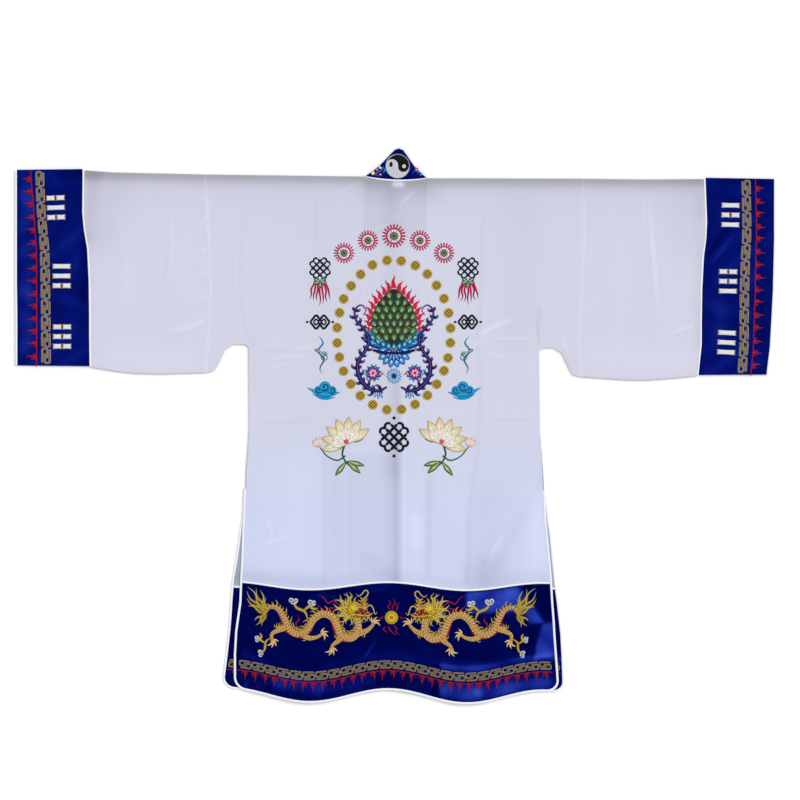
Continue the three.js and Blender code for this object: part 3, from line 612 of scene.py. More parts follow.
def body_blocks(hand):
    def down(columns, parts, upper, top=lambda x: -FOLD_R):
        x, t = np.meshgrid(columns, parts)
        return on_layer(hand * x, lerp(top(x), -depth_at(np.maximum(x, CHEST)), t), upper, CLOTH)

    def over(columns):
        x, turn = np.meshgrid(columns, TURNS)
        fold = on_fold(hand * x, 0, 1, turn, CLOTH)
        front, back = down(columns, FRONT_PARTS, False), down(columns, BACK_PARTS, True)
        return np.concatenate([front[:-1], fold, back[1:]])

    def below(layer):
        rows = ROWS[layer]
        return on_layer(hand * trunk(side_of(rows, hand, layer)), -rows[:, None], layer == "Back", CLOTH)

    x, d = np.meshgrid(CENTRE, ROWS["Back"])
    neck, centre = down(CENTRE, BACK_PARTS, True, neckline), on_layer(hand * x, -d, True, CLOTH)
    return [neck, centre, over(trunk(CHEST)[0]), over(HEAD), below("Back"), below("Front")]


def tube_block(hand, columns, thick):
    """A flattened tube about the arm."""
    def wall(parts, upper):
        x, t = np.meshgrid(columns, parts)
        return on_layer(hand * x, lerp(-FOLD_R, FOLD_R - depth_at(x), t), upper, thick)

    def fold(way):
        x, turn = np.meshgrid(columns, TURNS[::way])
        return on_fold(hand * x, 0 if way > 0 else -depth_at(x), way, turn, thick)

    return np.concatenate([wall(FRONT_PARTS, False)[:-1], fold(1), wall(BACK_PARTS, True)[1:-1], fold(-1)])


def cuff_strip(hand, start):
    return tube_block(hand, start + SEAM + ROUND * (STRIP_WIDE - 2 * SEAM), STRIP)


def band_bottom(x, side):
    inside = np.abs(x) - (side - CORNER_R)
    corner = np.sqrt(np.maximum(0, CORNER_R**2 - np.maximum(0, inside) ** 2))
    return np.where(inside <= 0, BAND_BOTTOM, BAND_BOTTOM - CORNER_R + corner)


def front_width(hand):
    return lambda down: hand * trunk(side_of(down, hand, "Front"))


def whole_width(down):
    left, right = (trunk(side_of(down, hand, "Back")) for hand in (-1, 1))
    middle = np.broadcast_to(NECK[1:-1], (len(left), len(NECK) - 2))
    return np.hstack([-left[:, ::-1], middle, right])


def band_rows(columns_at, layer):
    top = BAND_TOPS[layer] + STRIP_WIDE + SEAM
    level = lerp(top, BAND_BOTTOM, BAND_PARTS)
    x = columns_at(level)
    side = side_of(level[:, None], x, layer)
    return x, lerp(top, band_bottom(x, side), BAND_PARTS[:, None])


def hem_band(columns_at, layer):
    x, down = band_rows(columns_at, layer)
    return on_layer(x, -down, layer == "Back", SATIN)


def hem_piping(columns_at, layer):
    top = BAND_TOPS[layer]
    down = top + SEAM + ROUND[:, None] * (STRIP_WIDE - SEAM)
    return on_layer(np.repeat(columns_at(top), len(ROUND), 0), -down, layer == "Back", STRIP)


def side_edge(hand, columns_at, layer):
    slit = ROWS[layer][ROWS[layer] >= SLIT_TOP]
    x, down = band_rows(columns_at, layer)
    end = -1 if np.sign(x[0, -1]) == hand else 0
    xs = np.concatenate([hand * side_of(slit, hand, layer), x[:, end]])
    return np.stack([xs, -np.concatenate([slit, down[:, end]])], -1)


def hem_edge(columns_at, layer):
    x, down = band_rows(columns_at, layer)
    return np.stack([x[-1], -down[-1]], -1)


def binding_block(path, way, upper):
    """A strip along the left of a path, way 1, or its right, at the height of the path itself."""
    path = evenly(path, 4.0)
    out = headings(path)[1] * way
    off = SEAM + ROUND * STRIP_WIDE
    block = on_layer(path[:, :1] + out[:, :1] * off, path[:, 1:] + out[:, 1:] * off, upper, STRIP)
    block[..., 2] = on_layer(path[:, 0], path[:, 1], upper, STRIP)[:, None, 2]
    return block


def collar_block():
    """The band up one front, folded over at the neck, across the back and down the other front."""
    parts = np.linspace(0, 1, 14)
    w = parts * COLLAR_WIDE
    front_x = FRONT_EDGE - SEAM - w
    run = [*spaced(BAND_BOTTOM, 60, COARSE), *spaced(60, 8, 12)[1:]]

    def front(hand):
        rows = [on_layer(hand * front_x, np.full(len(w), -d), False, BAND) for d in run]
        return [*rows, on_layer(hand * front_x, w + COLLAR_START - FOLD_R * SLOPE, False, BAND)]

    def fold(hand):
        rows = []
        for angle in TURNS[1:] * math.pi / 2:
            inwards = FOLD_R * (1 - math.cos(angle)) * SLOPE
            x, y = hand * (front_x - inwards + FOLD_R * SLOPE), w + COLLAR_START - inwards
            flat = math.cos(angle) * SLOPE
            z = BAND / 2 + FOLD_R * (1 + math.sin(angle))
            values = np.broadcast_arrays(*laid(x, y), z, hand * flat, flat, math.sin(angle), x, y, y)
            rows.append(np.stack(values, -1))
        return rows

    def across(column):
        x = column / FRONT_EDGE * front_x
        sag = (COLLAR_START - collar_seam(x)) * (1 - parts)
        bulge = COLLAR_BULGE * (1 - (column / FRONT_EDGE) ** 2) * parts**3
        return on_layer(x, w + COLLAR_START - FOLD_R * SLOPE - sag + bulge, True, BAND)

    return np.stack([*front(-1), *fold(-1), *map(across, NECK[1:-1]), *fold(1)[::-1], *front(1)[::-1]])


def neck_piping_block():
    x = NECK * (1 - SEAM / FRONT_EDGE)
    low_edge = neckline(x) + SEAM
    high_edge = collar_seam(x) - FOLD_R * SLOPE - SEAM
    y = lerp(low_edge[:, None], high_edge[:, None], ROUND)
    return on_layer(np.repeat(x[:, None], len(ROUND), 1), y, True, STRIP)


def white(name, *blocks):
    shell(name, WHITE_CLOTH, white_tint, blocks, CLOTH)


def navy(name, block, thick=SATIN):
    shell(name, NAVY_SATIN, navy_tint, [block], thick)


def trim(name, block, swell, under=False):
    swells = [np.broadcast_to(swell, block.shape[:2])]
    shell(name, WHITE_TRIM, trim_tint, [block], STRIP, swells, under)


for hand, side in ((-1, "left"), (1, "right")):
    width = front_width(hand)
    white(f"body_{side}", *body_blocks(hand))
    white(f"sleeve_{side}", tube_block(hand, ARM, CLOTH))
    trim(f"cuff_piping_{side}", cuff_strip(hand, CUFF_SEAM), SWELL)
    navy(f"cuff_{side}", tube_block(hand, CUFF, SATIN))
    trim(f"cuff_binding_{side}", cuff_strip(hand, CUFF_END), SWELL)
    trim(f"hem_piping_front_{side}", hem_piping(width, "Front"), SWELL[:, None], True)
    navy(f"hem_band_front_{side}", hem_band(width, "Front"))
    path = np.concatenate([side_edge(hand, width, "Front"), hem_edge(width, "Front")[-2::-1]])
    trim(f"binding_front_{side}", binding_block(path, hand, False), SWELL, True)

left_edge, right_edge = (side_edge(hand, whole_width, "Back") for hand in (-1, 1))
around = np.concatenate([left_edge, hem_edge(whole_width, "Back")[1:-1], right_edge[::-1]])
trim("hem_piping_back", hem_piping(whole_width, "Back"), SWELL[:, None])
navy("hem_band_back", hem_band(whole_width, "Back"))
trim("binding_back", binding_block(around, -1, True), SWELL)
navy("collar", collar_block(), BAND)
trim("neck_piping", neck_piping_block(), SWELL)

# ---------------------------------------------------------------- threads
BROWN, YELLOW, RED, DARK_RED = (112, 84, 44), (234, 204, 44), (186, 16, 40), (124, 8, 34)
MAGENTA, BLACK, NAVY, CYAN = (200, 20, 88), (14, 14, 22), (26, 20, 92), (24, 160, 214)
TEAL, GREEN, MAROON = (16, 120, 140), (30, 104, 58), (110, 22, 46)
WHITE, IVORY = (244, 244, 246), (238, 226, 190)
# across a stroke: place, height and share of the edge's colour; out from a fill's middle: place and height
ACROSS, CROWN, RIM = np.array([
    (-1, -0.25, 1), (-0.72, 0.72, 0.75), (0, 1, 0), (0.72, 0.72, 0.75), (1, -0.25, 1),
]).T
FILL_OUT, FILL_CROWN = np.array([(1, -0.25), (0.9, 0.75), (0.6, 0.95), (0.06, 1)]).T
SLIMMEST = 1.1


def spline(q):
    """The smooth curve through all but the first and last of the points."""
    t = np.linspace(0, 1, 9)[:-1, None]
    return [
        0.5 * (2 * b + (c - a) * t + (2 * a - 5 * b + 4 * c - d) * t**2 + (3 * b - a - 3 * c + d) * t**3)
        for a, b, c, d in zip(q[:-3], q[1:-2], q[2:-1], q[3:])
    ]


def curve(points, step):
    """A smooth line through the points, at about even steps."""
    p = np.array(points, float)
    if len(p) > 2:
        p = np.vstack([*spline(np.vstack([2 * p[0] - p[1], p, 2 * p[-1] - p[-2]])), p[-1]])
    return evenly(p, step, 3)


def circle(x, y, radius, count):
    a = np.linspace(0, 2 * np.pi, count + 1)
    return np.stack([x + radius * np.cos(a), y + radius * np.sin(a)], -1)


def turned(points, x=0.0, y=0.0, angle=0.0, scale=1.0, flip=1):
    p = np.array(points, float) * scale
    p[:, 0] *= flip
    c, s = math.cos(angle), math.sin(angle)
    return np.stack([x + c * p[:, 0] - s * p[:, 1], y + s * p[:, 0] + c * p[:, 1]], -1)


def spiral(x, y, r0, r1, start, turns, flip=1):
    t = np.linspace(0, 1, 14)
    a, r = start + turns * 2 * np.pi * t, lerp(r0, r1, t)
    return np.stack([x + flip * r * np.cos(a), y + r * np.sin(a)], -1)


class Threadwork:
    """Strokes and fills of thread on one carrier, in units of 2.4 mm as seen or the garment's millimetres."""

    def __init__(self, name, level, folds=True, as_seen=True, shade=1.0):
        self.name, self.level, self.folds, self.as_seen, self.shade = name, level, folds, as_seen, shade
        self.points, self.heights, self.tints, self.uvs, self.faces, self.count = [], [], [], [], [], 0
        self.unit = 1.0 if as_seen else UNIT
        self.metre = UNIT / self.unit / 1000
        self.move = lambda p: p

    def at(self, x=0.0, y=0.0, flip=1, angle=0.0, scale=1.0, within=lambda p: p):
        """What follows is drawn round this point, flipped, turned and scaled, inside another such place."""
        self.move = lambda p: within(turned(p, x, y, angle, scale, flip))
        return self.move

    def add(self, xy, high, tint, uv, faces):
        self.points.append(self.move(xy.reshape(-1, 2)))
        self.heights.append(high.ravel())
        self.tints.append(tint.reshape(-1, 3))
        self.uvs.append(uv.reshape(-1, 2))
        self.faces += [tuple(i + self.count for i in face) for face in faces]
        self.count += high.size

    def stroke(self, points, width, colour, edge=None, end=None, high=0.8, lift=0.0, step=0.75):
        """A crowned stroke. Width is half its breadth: one value, with round ends, or a list along the line."""
        line = curve(points, step * self.unit)
        length = length_along(line)
        t = length / max(length[-1], 1e-9)
        if np.isscalar(width):
            near = np.minimum(np.minimum(length, length[-1] - length) / width, 1)
            half = width * np.sqrt(np.maximum(0.02, 1 - (1 - near) ** 2))
        else:
            half = np.interp(t, np.linspace(0, 1, len(width)), width)
        out = ACROSS * half[:, None]
        xy = line[:, None] + headings(line)[1][:, None] * out[..., None]
        tall = high * np.minimum(1, half * UNIT / self.unit / SLIMMEST)
        colour = np.array(colour, float)
        run = colour + (np.array(colour if end is None else end, float) - colour) * t[:, None]
        rim = run if edge is None else np.broadcast_to(np.array(edge, float), run.shape)
        tint = run[:, None] * (1 - RIM[:, None]) + rim[:, None] * RIM[:, None]
        uv = np.stack(np.broadcast_arrays(length[:, None] * self.metre, out * self.metre), -1)
        corners = [i + j for i in range(0, 5 * len(line) - 5, 5) for j in range(4)]
        faces = [(i, i + 1, i + 6, i + 5) for i in corners]
        self.add(xy, lift + tall[:, None] * CROWN, tint, uv, faces)

    def fill(self, outline, colour, edge=None, high=0.9, lift=0.0, step=0.8, angular=False, heart=None):
        """A filled shape that its middle can see all of, crowned towards the middle."""
        p = np.array(outline, float)
        if angular:
            line = np.vstack([curve(pair, step * self.unit)[:-1] for pair in zip(p, np.roll(p, -1, 0))])
        else:
            round_it = np.vstack([*spline(np.vstack([p[-1:], p, p[:2]])), p[:1]])
            line = evenly(round_it, step * self.unit, 8)[:-1]
        middle, n = line.mean(0), len(line)
        xy = middle + (line - middle) * FILL_OUT[:, None, None]
        colour, rim, core = (np.array(colour if c is None else c, float) for c in (colour, edge, heart))
        tint = np.stack([rim, lerp(rim, colour, 0.5), colour, core])[:, None].repeat(n, 1)
        steps = [(k, i, (i + 1) % n) for k in (0, n, 2 * n) for i in range(n)]
        faces = [(k + i, k + j, k + n + j, k + n + i) for k, i, j in steps]
        faces.append(tuple(range(3 * n, 4 * n)))
        self.add(xy, np.repeat((lift + high * FILL_CROWN)[:, None], n, 1), tint, xy * self.metre, faces)

    def disc(self, x, y, radius, colour, edge=None, **more):
        self.fill(circle(x, y, radius, 12)[:-1], colour, edge, **more)

    def ring(self, x, y, radius, width, colour, edge=None, **more):
        self.stroke(circle(x, y, radius, 24), [width, width], colour, edge, **more)

    def build(self):
        x, y = np.vstack(self.points).T
        if self.as_seen:
            x, y = straight((x - SEEN_X) * UNIT, (SEEN_Y - y) * UNIT)
        z = self.level + (rise(x, y) if self.folds else 0 * x) + np.concatenate(self.heights)
        uv = np.vstack(self.uvs)[[i for face in self.faces for i in face]]
        points, colour = np.stack([*laid(x, y), z], -1), np.vstack(self.tints) * self.shade
        mesh = new_mesh(self.name, points, self.faces, "thread", uv, colour)
        b = bmesh.new()
        b.from_mesh(mesh)
        b.normal_update()
        bmesh.ops.reverse_faces(b, faces=[face for face in b.faces if face.normal.z < 0])
        b.to_mesh(mesh)
        b.free()
        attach(make_object(self.name, mesh, THREAD), "root")


def collar_patch():
    """The round patch: a light and a dark half that curl together, each with its eye, inside a cord."""
    spokes, lean = 150, math.radians(-7.5)
    share = np.concatenate([np.linspace(0.02, 0.9, 36), np.linspace(0.92, 1, 8)])[:, None]
    angle = np.linspace(0, 2 * np.pi, spokes, endpoint=False)
    u, v = share * ROUNDEL_R * np.cos(angle), share * ROUNDEL_R * np.sin(angle)
    p, q = u * math.cos(lean) + v * math.sin(lean), v * math.cos(lean) - u * math.sin(lean)
    head = 0.462 * ROUNDEL_R
    left, right = np.hypot(p + head, q), np.hypot(p - head, q)
    seam = np.where(q > 0, np.abs(left - head), np.abs(right - head))
    cord = bell((share - 0.96) / 0.03) + 0 * p
    line = bell(seam / 0.9) * (share < 0.92)
    right_eye = np.hypot(p - head - 1.6, q - 1.4)
    colour = np.full(p.shape + (3,), (12.0, 14, 14))
    for where, value in (
        ((left < head) | ((q < 0) & (right >= head)), (198, 198, 206)),
        (np.hypot((p + head + 3) / 0.8, (q - 1.8) / 1.3) < 5, (16, 16, 30)),
        (right_eye < 4.4, (226, 214, 214)), (right_eye < 1.3, (150, 70, 84)),
        (line > 0.5, (216, 217, 224)), (cord > 0.4, (188, 192, 204)),
    ):
        colour[where] = value
    # painted shade on the cord, deepening towards its upper right
    colour *= (1 - 0.35 * cord * np.clip((u + v) / ROUNDEL_R, 0, 1))[..., None]
    bottom, top = low.z * 1000, high.z * 1000
    dome = np.sqrt(np.maximum(0, 1 - share**2 * 0.97)) * (top - bottom - 0.75) + 0.45
    z = bottom + dome + 0.3 * np.maximum(cord, line)
    z[-1] = bottom + 0.3
    x0, y0 = float(roundel_x), float(roundel_y)
    upper = np.stack([x0 + u, y0 + v, z], -1).reshape(-1, 3)
    lower = np.stack([x0 + u[-1], y0 + v[-1], np.full(spokes, bottom)], -1)
    last = len(share) * spokes
    faces = [
        (i + j, i + spokes + j, i + spokes + (j + 1) % spokes, i + (j + 1) % spokes)
        for i in range(0, last, spokes) for j in range(spokes)
    ]
    faces += [tuple(range(spokes)), tuple(range(last + spokes - 1, last - 1, -1))]
    flat = np.concatenate([np.stack([p, q], -1).reshape(-1, 2), np.stack([p[-1], q[-1]], -1)]) / 1000
    uv = flat[[i for face in faces for i in face]]
    points, colour = np.concatenate([upper, lower]), np.concatenate([colour.reshape(-1, 3), colour[-1]])
    mesh = new_mesh("collar_roundel_cloth", points, faces, "thread", uv, colour)
    take_place("collar_roundel", mesh, THREAD)


collar_patch()

# ---------------------------------------------------------------- borders
rng = np.random.default_rng(11)
STITCH, KEY, KEY_EDGE = (24, 34, 112), (102, 80, 50), (202, 186, 136)
HOOK = np.array([(-0.43, -0.86), (0.3, -0.86), (0.43, -0.72), (0.43, 0.12), (0.32, 0.27), (-0.16, 0.27)])
# the middle of the key border and the red cord on each cuff: down, out
CUFF_LINES = {
    -1: ([(0, 850.5), (60, 848.5), (170, 842.5), (475, 842)], [(0, 874), (118, 864), (200, 862), (475, 864)]),
    1: ([(0, 840), (270, 841), (400, 845), (475, 848)], [(0, 863), (220, 866), (400, 868), (475, 870)]),
}
# x, y, tilt in degrees, and each bar from the top: 1 whole, 0 broken
TRIGRAMS = {
    -1: [(55.7, 207.6, -2, (0, 1, 0)), (61.6, 276, 0, (1, 1, 0)), (62, 336.6, 0, (0, 0, 0))],
    1: [(730.5, 215, 1, (1, 0, 1)), (728, 281.4, 1, (0, 0, 1)), (726.5, 342.5, 3, (1, 1, 1))],
}
BAR_LONG, BAR_GAP, BAR_HALF, BAR_WAIST, BAR_FLARE, BAR_STEP, BAR_RIM = 8.9, 0.8, 2.4, 2.2, 0.25, 9.7, 0.7


def key_border(work, place, start, end, pitch, half, width):
    """Interlocking hooks between two distances along a line. Place turns (along, across) into a point."""
    count = round((end - start) / pitch)
    pitch = (end - start) / count
    for k in range(count):
        middle = start + (k + 0.5) * pitch
        for sign in (1, -1):
            p = HOOK * sign * np.array([pitch, half])
            work.stroke([place(middle + a, b) for a, b in p], width, KEY, KEY_EDGE, high=0.7, step=0.9)


def flame_border(work, place, start, end, pitch, size, wide=1.0):
    """A red cord with small three-tongued flames standing on it."""
    count = round((end - start) / pitch)
    pitch = (end - start) / count
    line = [place(a, 0) for a in np.linspace(start - pitch * 0.3, end + pitch * 0.3, count * 2)]
    work.stroke(line, 1.5 * wide, RED, DARK_RED, high=0.7, step=1.5)
    for k in range(count):
        a = start + (k + 0.5) * pitch + rng.uniform(-0.6, 0.6)
        lean, tall = rng.uniform(-0.12, 0.12) * size, size * rng.uniform(0.92, 1.06)
        s = 1 if k % 2 else -1
        for path, widths in (
            ([(0, -0.5), (0.6 * lean, 0.3 * tall), (lean + 1.6 * s, 0.66 * tall), (lean - 0.8 * s, tall)],
             [5.0, 3.3, 1.5, 0.2]),
            ([(-2.4 * s, 0), (-5.4 * s, 0.26 * tall), (-4.4 * s, 0.56 * tall)], [2.6, 1.9, 0.2]),
            ([(2.6 * s, 0), (5.8 * s, 0.2 * tall), (6.6 * s, 0.42 * tall)], [2.2, 1.5, 0.2]),
        ):
            line = [place(a + u, v) for u, v in path]
            work.stroke(line, [w * wide for w in widths], RED, DARK_RED, step=1.1)


def topstitch(work, place, start, end):
    """A row of machine stitches between two distances along a line."""
    for a in np.arange(start, end - 3, 4.2):
        work.stroke([place(a), place(a + 3)], 0.4, STITCH, step=0.7)


def cuff_place(hand, line):
    return lambda d, v: (hand * (np.interp(d, *np.transpose(line)) + v), -d)


def bar(work, x, y, tilt, a, b, level):
    """One white bar between two places along a trigram's line, on a gold rim."""
    middle = (a + b) / 2
    shape = [(a, -BAR_HALF), (middle, -BAR_WAIST), (b, -BAR_HALF), (b - BAR_FLARE, 0),
             (b, BAR_HALF), (middle, BAR_WAIST), (a, BAR_HALF), (a + BAR_FLARE, 0)]
    outline = turned(np.array(shape) + (0, level), x, y, tilt)
    centre = outline.mean(0)
    rim = centre + (outline - centre) * (1 + BAR_RIM / max(abs(b - a) / 2, 2.6))
    work.fill(rim, (150, 128, 70), high=0.5, angular=True)
    work.fill(outline, (242, 243, 246), (222, 218, 206), high=1.1, lift=0.1, angular=True)


for hand, side in ((-1, "left"), (1, "right")):
    work = Threadwork(f"embroidery_cuff_{side}", UPPER + SATIN, True, False, 0.91)
    key_line, cord_line = CUFF_LINES[hand]
    key_border(work, cuff_place(hand, key_line), 3, 466, 40, 10.0, 2.5)
    flame_border(work, cuff_place(hand, cord_line), 8, 464, 30.3, 24)
    for out in (CUFF_SEAM + STRIP_WIDE + 2.5, CUFF_END - 2.5):
        topstitch(work, lambda d: (hand * out, -d), 4, 464)
    work.build()
    work = Threadwork(f"trigrams_{side}", UPPER + SATIN, shade=0.92)
    for x, y, tilt, rows in TRIGRAMS[hand]:
        for k, whole in enumerate(rows):
            level, tilted = (k - 1) * BAR_STEP, math.radians(tilt)
            for a, b in [(-BAR_LONG, BAR_LONG)] if whole else [(-BAR_LONG, -BAR_GAP), (BAR_GAP, BAR_LONG)]:
                bar(work, x, y, tilted, a, b, level)
            if not whole:
                work.disc(*turned([(0, level)], x, y, tilted)[0], 0.7, BROWN, high=0.6)
    work.build()


def hem_borders(work, hand, keys, flames):
    key_border(work, lambda a, v: (hand * a, -1180 + v), *keys, 9.4, 2.0)
    flame_border(work, lambda a, v: (hand * a, -1195 - v), *flames, 23, 23, 0.85)


work = Threadwork("embroidery_hem", UPPER + SATIN, True, False, 0.83)
hem_borders(work, 1, (-372, 378, 30), (-370, 376))
for start, end, down in ((-362, 368, BAND_TOPS["Back"] + STRIP_WIDE + 3), (-356, 362, BAND_BOTTOM - 2.5)):
    topstitch(work, lambda a: (a, -down), start, end)
work.build()
for hand, side in ((-1, "left"), (1, "right")):
    work = Threadwork(f"embroidery_front_{side}", SATIN, False, False, 0.83)
    hem_borders(work, hand, (84, 398, 31), (86, 394))
    work.build()

# ---------------------------------------------------------------- motifs, each drawn round its own middle
PETAL = np.array([
    (0, 0), (0.75, -0.3), (1, -0.58), (0.55, -0.85), (0, -1), (-0.55, -0.85), (-1, -0.58), (-0.75, -0.3),
])
VEIN, CORDS = [0.24, 0.2, 0.1], 3


def draw(work, rows, **more):
    """Strokes from rows of path, widths, colour and the colour of the edge."""
    for row in rows:
        work.stroke(*row, **more)


def sprig(work, x, y, angles, reach, wide, colour, edge, heart=None, base=0.0, vein=None, lift=0.0):
    """Petals or leaves that fan out round a point, each at its angle in degrees from straight up."""
    for way in map(math.radians, angles):
        work.fill(turned(PETAL * (wide, reach) - (0, base), x, y, way), colour, edge, 0.8, lift, heart=heart)
        if vein:
            line = [(0, -base - 0.15 * reach), (0.1 * wide, -base - 0.5 * reach), (0, -base - 0.86 * reach)]
            work.stroke(turned(line, x, y, way), VEIN, vein, high=0.3, lift=lift + 0.75)


def coin(work, x, y, radius):
    """A gold disc under a net of brown thread, inside a bright cord."""
    work.disc(x, y, radius, (186, 160, 54), (146, 118, 44), heart=(204, 182, 86), high=0.8)
    work.ring(x, y, radius * 0.86, 0.42, (206, 186, 78), lift=0.6)
    for way in (-1, 1):
        for off in (-0.46, 0.0, 0.46):
            half = 0.72 * math.sqrt(1 - off * off)
            line = [(-half, off * 0.9), (0, off), (half, off * 0.9)]
            line = turned(line, x, y, way * math.pi / 4, radius)
            work.stroke(line, 0.34, (118, 66, 30), high=0.6, lift=0.78)


def blossom(work, x, y, size):
    """A white disc with a green flower in it, inside a ring of thin magenta rays."""
    sprig(work, x, y, range(0, 360, 18), size * 0.62, size * 0.1, MAGENTA, (150, 8, 60), base=size * 0.72)
    work.ring(x, y, size * 0.78, size * 0.075, (206, 24, 90), (150, 10, 60), high=0.9, lift=0.2)
    work.disc(x, y, size * 0.7, WHITE, (226, 214, 222))
    for start, reach, wide, colour, edge, heart, base, lift in (
        (0, 0.46, 0.13, GREEN, (16, 40, 30), (120, 170, 120), 0.08, 0.85),
        (30, 0.3, 0.07, (190, 40, 90), MAROON, None, 0.22, 0.9),
    ):
        angles = range(start, start + 360, 60)
        sprig(work, x, y, angles, size * reach, size * wide, colour, edge, heart, size * base, lift=lift)
    work.disc(x, y, size * 0.13, BLACK, high=0.4, lift=1.3)
    for k in range(6):
        a, out = k * math.pi / 3 + math.pi / 6, size * 0.54
        work.disc(x + out * math.sin(a), y + out * math.cos(a), size * 0.055, BLACK, high=0.3, lift=1.0)


def knot(work, x, y, size, colour, edge, width):
    """A diamond of crossing cords joined by loops at their ends."""
    gap = 2 * size / (CORDS + 0.4)
    for way in (0, 1):
        turn = math.pi / 4 + way * math.pi / 2
        for k in range(CORDS):
            off = (k - (CORDS - 1) / 2) * gap
            line = [(-size, off), (0, off), (size, off)]
            work.stroke(turned(line, x, y, turn), width, colour, edge, lift=0.35 * ((k + way) % 2))
            if k:
                a = np.linspace(-math.pi / 2, math.pi / 2, 7)
                loop = np.stack([size + gap / 2 * np.cos(a), off - gap / 2 + gap / 2 * np.sin(a)], -1)
                for flip in (1, -1):
                    work.stroke(turned(loop, x, y, turn, 1, flip), width, colour, edge, high=0.9)


def lattice(work, x, y, size):
    """Two black diamonds linked side by side, with a bead at each end."""
    for off in (-0.52, 0.52):
        for scale, width in ((1.0, 1.2), (0.45, 0.9)):
            p = np.array([(0, -1), (0.8, 0), (0, 1), (-0.8, 0)]) * size * scale + (x + off * size, y)
            draw(work, ((pair, width, BLACK) for pair in zip(p, np.roll(p, -1, 0))))
    for off in (-1.75, 1.75):
        work.disc(x + off * size, y, size * 0.17, BLACK, high=0.8)
        work.stroke([(x + off * size * 0.74, y), (x + off * size, y)], 0.4, BLACK, high=0.7)


def tassel(work, x, y, wide, tall):
    leaves = (-104, 104, -62, 62, 180)
    sprig(work, x, y - 2.5, leaves, wide * 0.85, 2.6, GREEN, (16, 60, 36), (120, 180, 130), vein=WHITE)
    for k in range(7):
        u = (k - 3) / 3
        bend = rng.uniform(-0.8, 0.8)
        end = tall * (1 - 0.25 * abs(u)) * rng.uniform(0.9, 1.05)
        line = [(x + u * wide * 0.7, y), (x + u * wide + bend, y + 0.35 * end),
                (x + u * wide * 1.05 - bend, y + 0.7 * end), (x + u * wide * 1.2 + bend, y + end)]
        work.stroke(line, [1.0, 1.05, 0.8, 0.12], MAGENTA, (160, 12, 62), (150, 10, 50))


def cloud(work, x, y, size, colour, edge, core, trail):
    """A cloud of three curls over a pointed trail."""
    line = np.array([(-2.1, 0.25), (-1, 0.55), (0.6, 0.5), (2.5, -0.35)]) * size + (x, y)
    work.stroke(line, [0.15, size * 0.42, size * 0.38, 0.12], colour, edge, trail)
    short = line * 0.7 + np.array([x, y + 2.4 * size * 0.42]) * 0.3 + (0, size * 0.42)
    work.stroke(short, [0.1, size * 0.2, size * 0.22, 0.1], colour, edge)
    for dx, dy, r in ((-0.95, 0.05, 0.62), (0.85, 0.0, 0.6), (0, -0.42, 0.78)):
        cx, cy, r = x + dx * size, y + dy * size, r * size
        work.disc(cx, cy, r, colour, edge, high=1.0)
        curl = spiral(cx, cy, r * 0.72, r * 0.12, 0.6, 1.25, 1 if dx < 0.5 else -1)
        work.stroke(curl, 0.3 + 0.05 * r, core, high=0.5, lift=0.9)


def white_curl(work, x, y, flip):
    for path, widths in (
        (spiral(x, y, 3.2, 0.5, 2.2, 1.6, flip), [0.15, 0.55, 0.6, 0.5]),
        (spiral(x + 4.6 * flip, y + 3.4, 2.2, 0.4, 3.4, 1.4, flip), [0.15, 0.5, 0.55, 0.4]),
        ([(x + 6 * flip, y + 5), (x + 8 * flip, y + 9), (x + 13 * flip, y + 11)], [0.5, 0.4, 0.1]),
    ):
        work.stroke(path, widths, WHITE, (222, 222, 230))


def along(points, count, first=0.0, last=1.0):
    """Places, directions and left-hand sides, as seen, at even steps between two shares of a smooth line."""
    line = curve(points, 0.25)
    at = np.round(np.linspace(first, last, count) * (len(line) - 1)).astype(int)
    way, right = headings(line)
    return line[at], way[at], -right[at]


def scroll(work):
    """A big violet stem with cyan and violet barbs on both sides, right of the middle line."""
    path = [(7, 387), (16, 391), (27, 387), (35, 376), (36, 362), (29, 351), (25, 340), (30, 329), (38, 320),
            (39, 310), (33, 305), (28, 310), (31, 315)]
    widths = [1.2, 2.6, 3.2, 3.2, 2.9, 2.6, 2.4, 2.3, 2.1, 1.7, 1.3, 0.9, 0.4]
    for k, (p, w, s) in enumerate(zip(*along(path, 15, 0.06, 0.84))):
        for sign in (1, -1):
            reach = (5.4 if (k + (sign > 0)) % 2 else 3.4) * (1 - 0.022 * k)
            tip = p + sign * s * (reach * 1.05) + w * reach * 0.9
            line = [p - w, p + sign * s * reach * 0.75, p + sign * s * reach * 1.15 + w * reach * 0.35, tip]
            work.stroke(line, [1.5, 1.9, 1.3, 0.12], (26, 18, 84), (10, 8, 46), (70, 46, 134))
            light = ((150, 110, 210), CYAN, (200, 60, 110))[k % 3]
            work.stroke(line[1:], [0.1, 0.42, 0.1], light, high=0.35, lift=0.75)
    work.stroke(path, np.array(widths) * 0.8, (34, 24, 98), (10, 10, 50), high=1.2)
    work.stroke(path, [0.2, 0.5, 0.5, 0.4, 0.1], (92, 76, 170), high=0.4, lift=1.1)
    for x, y, angles in ((15, 389, (150, 175, 200)), (26, 344, (-60, -85))):
        sprig(work, x, y, angles, 8.0, 1.3, CYAN, (14, 90, 150), base=2.4, vein=WHITE)
    white_curl(work, 14, 330, -1)


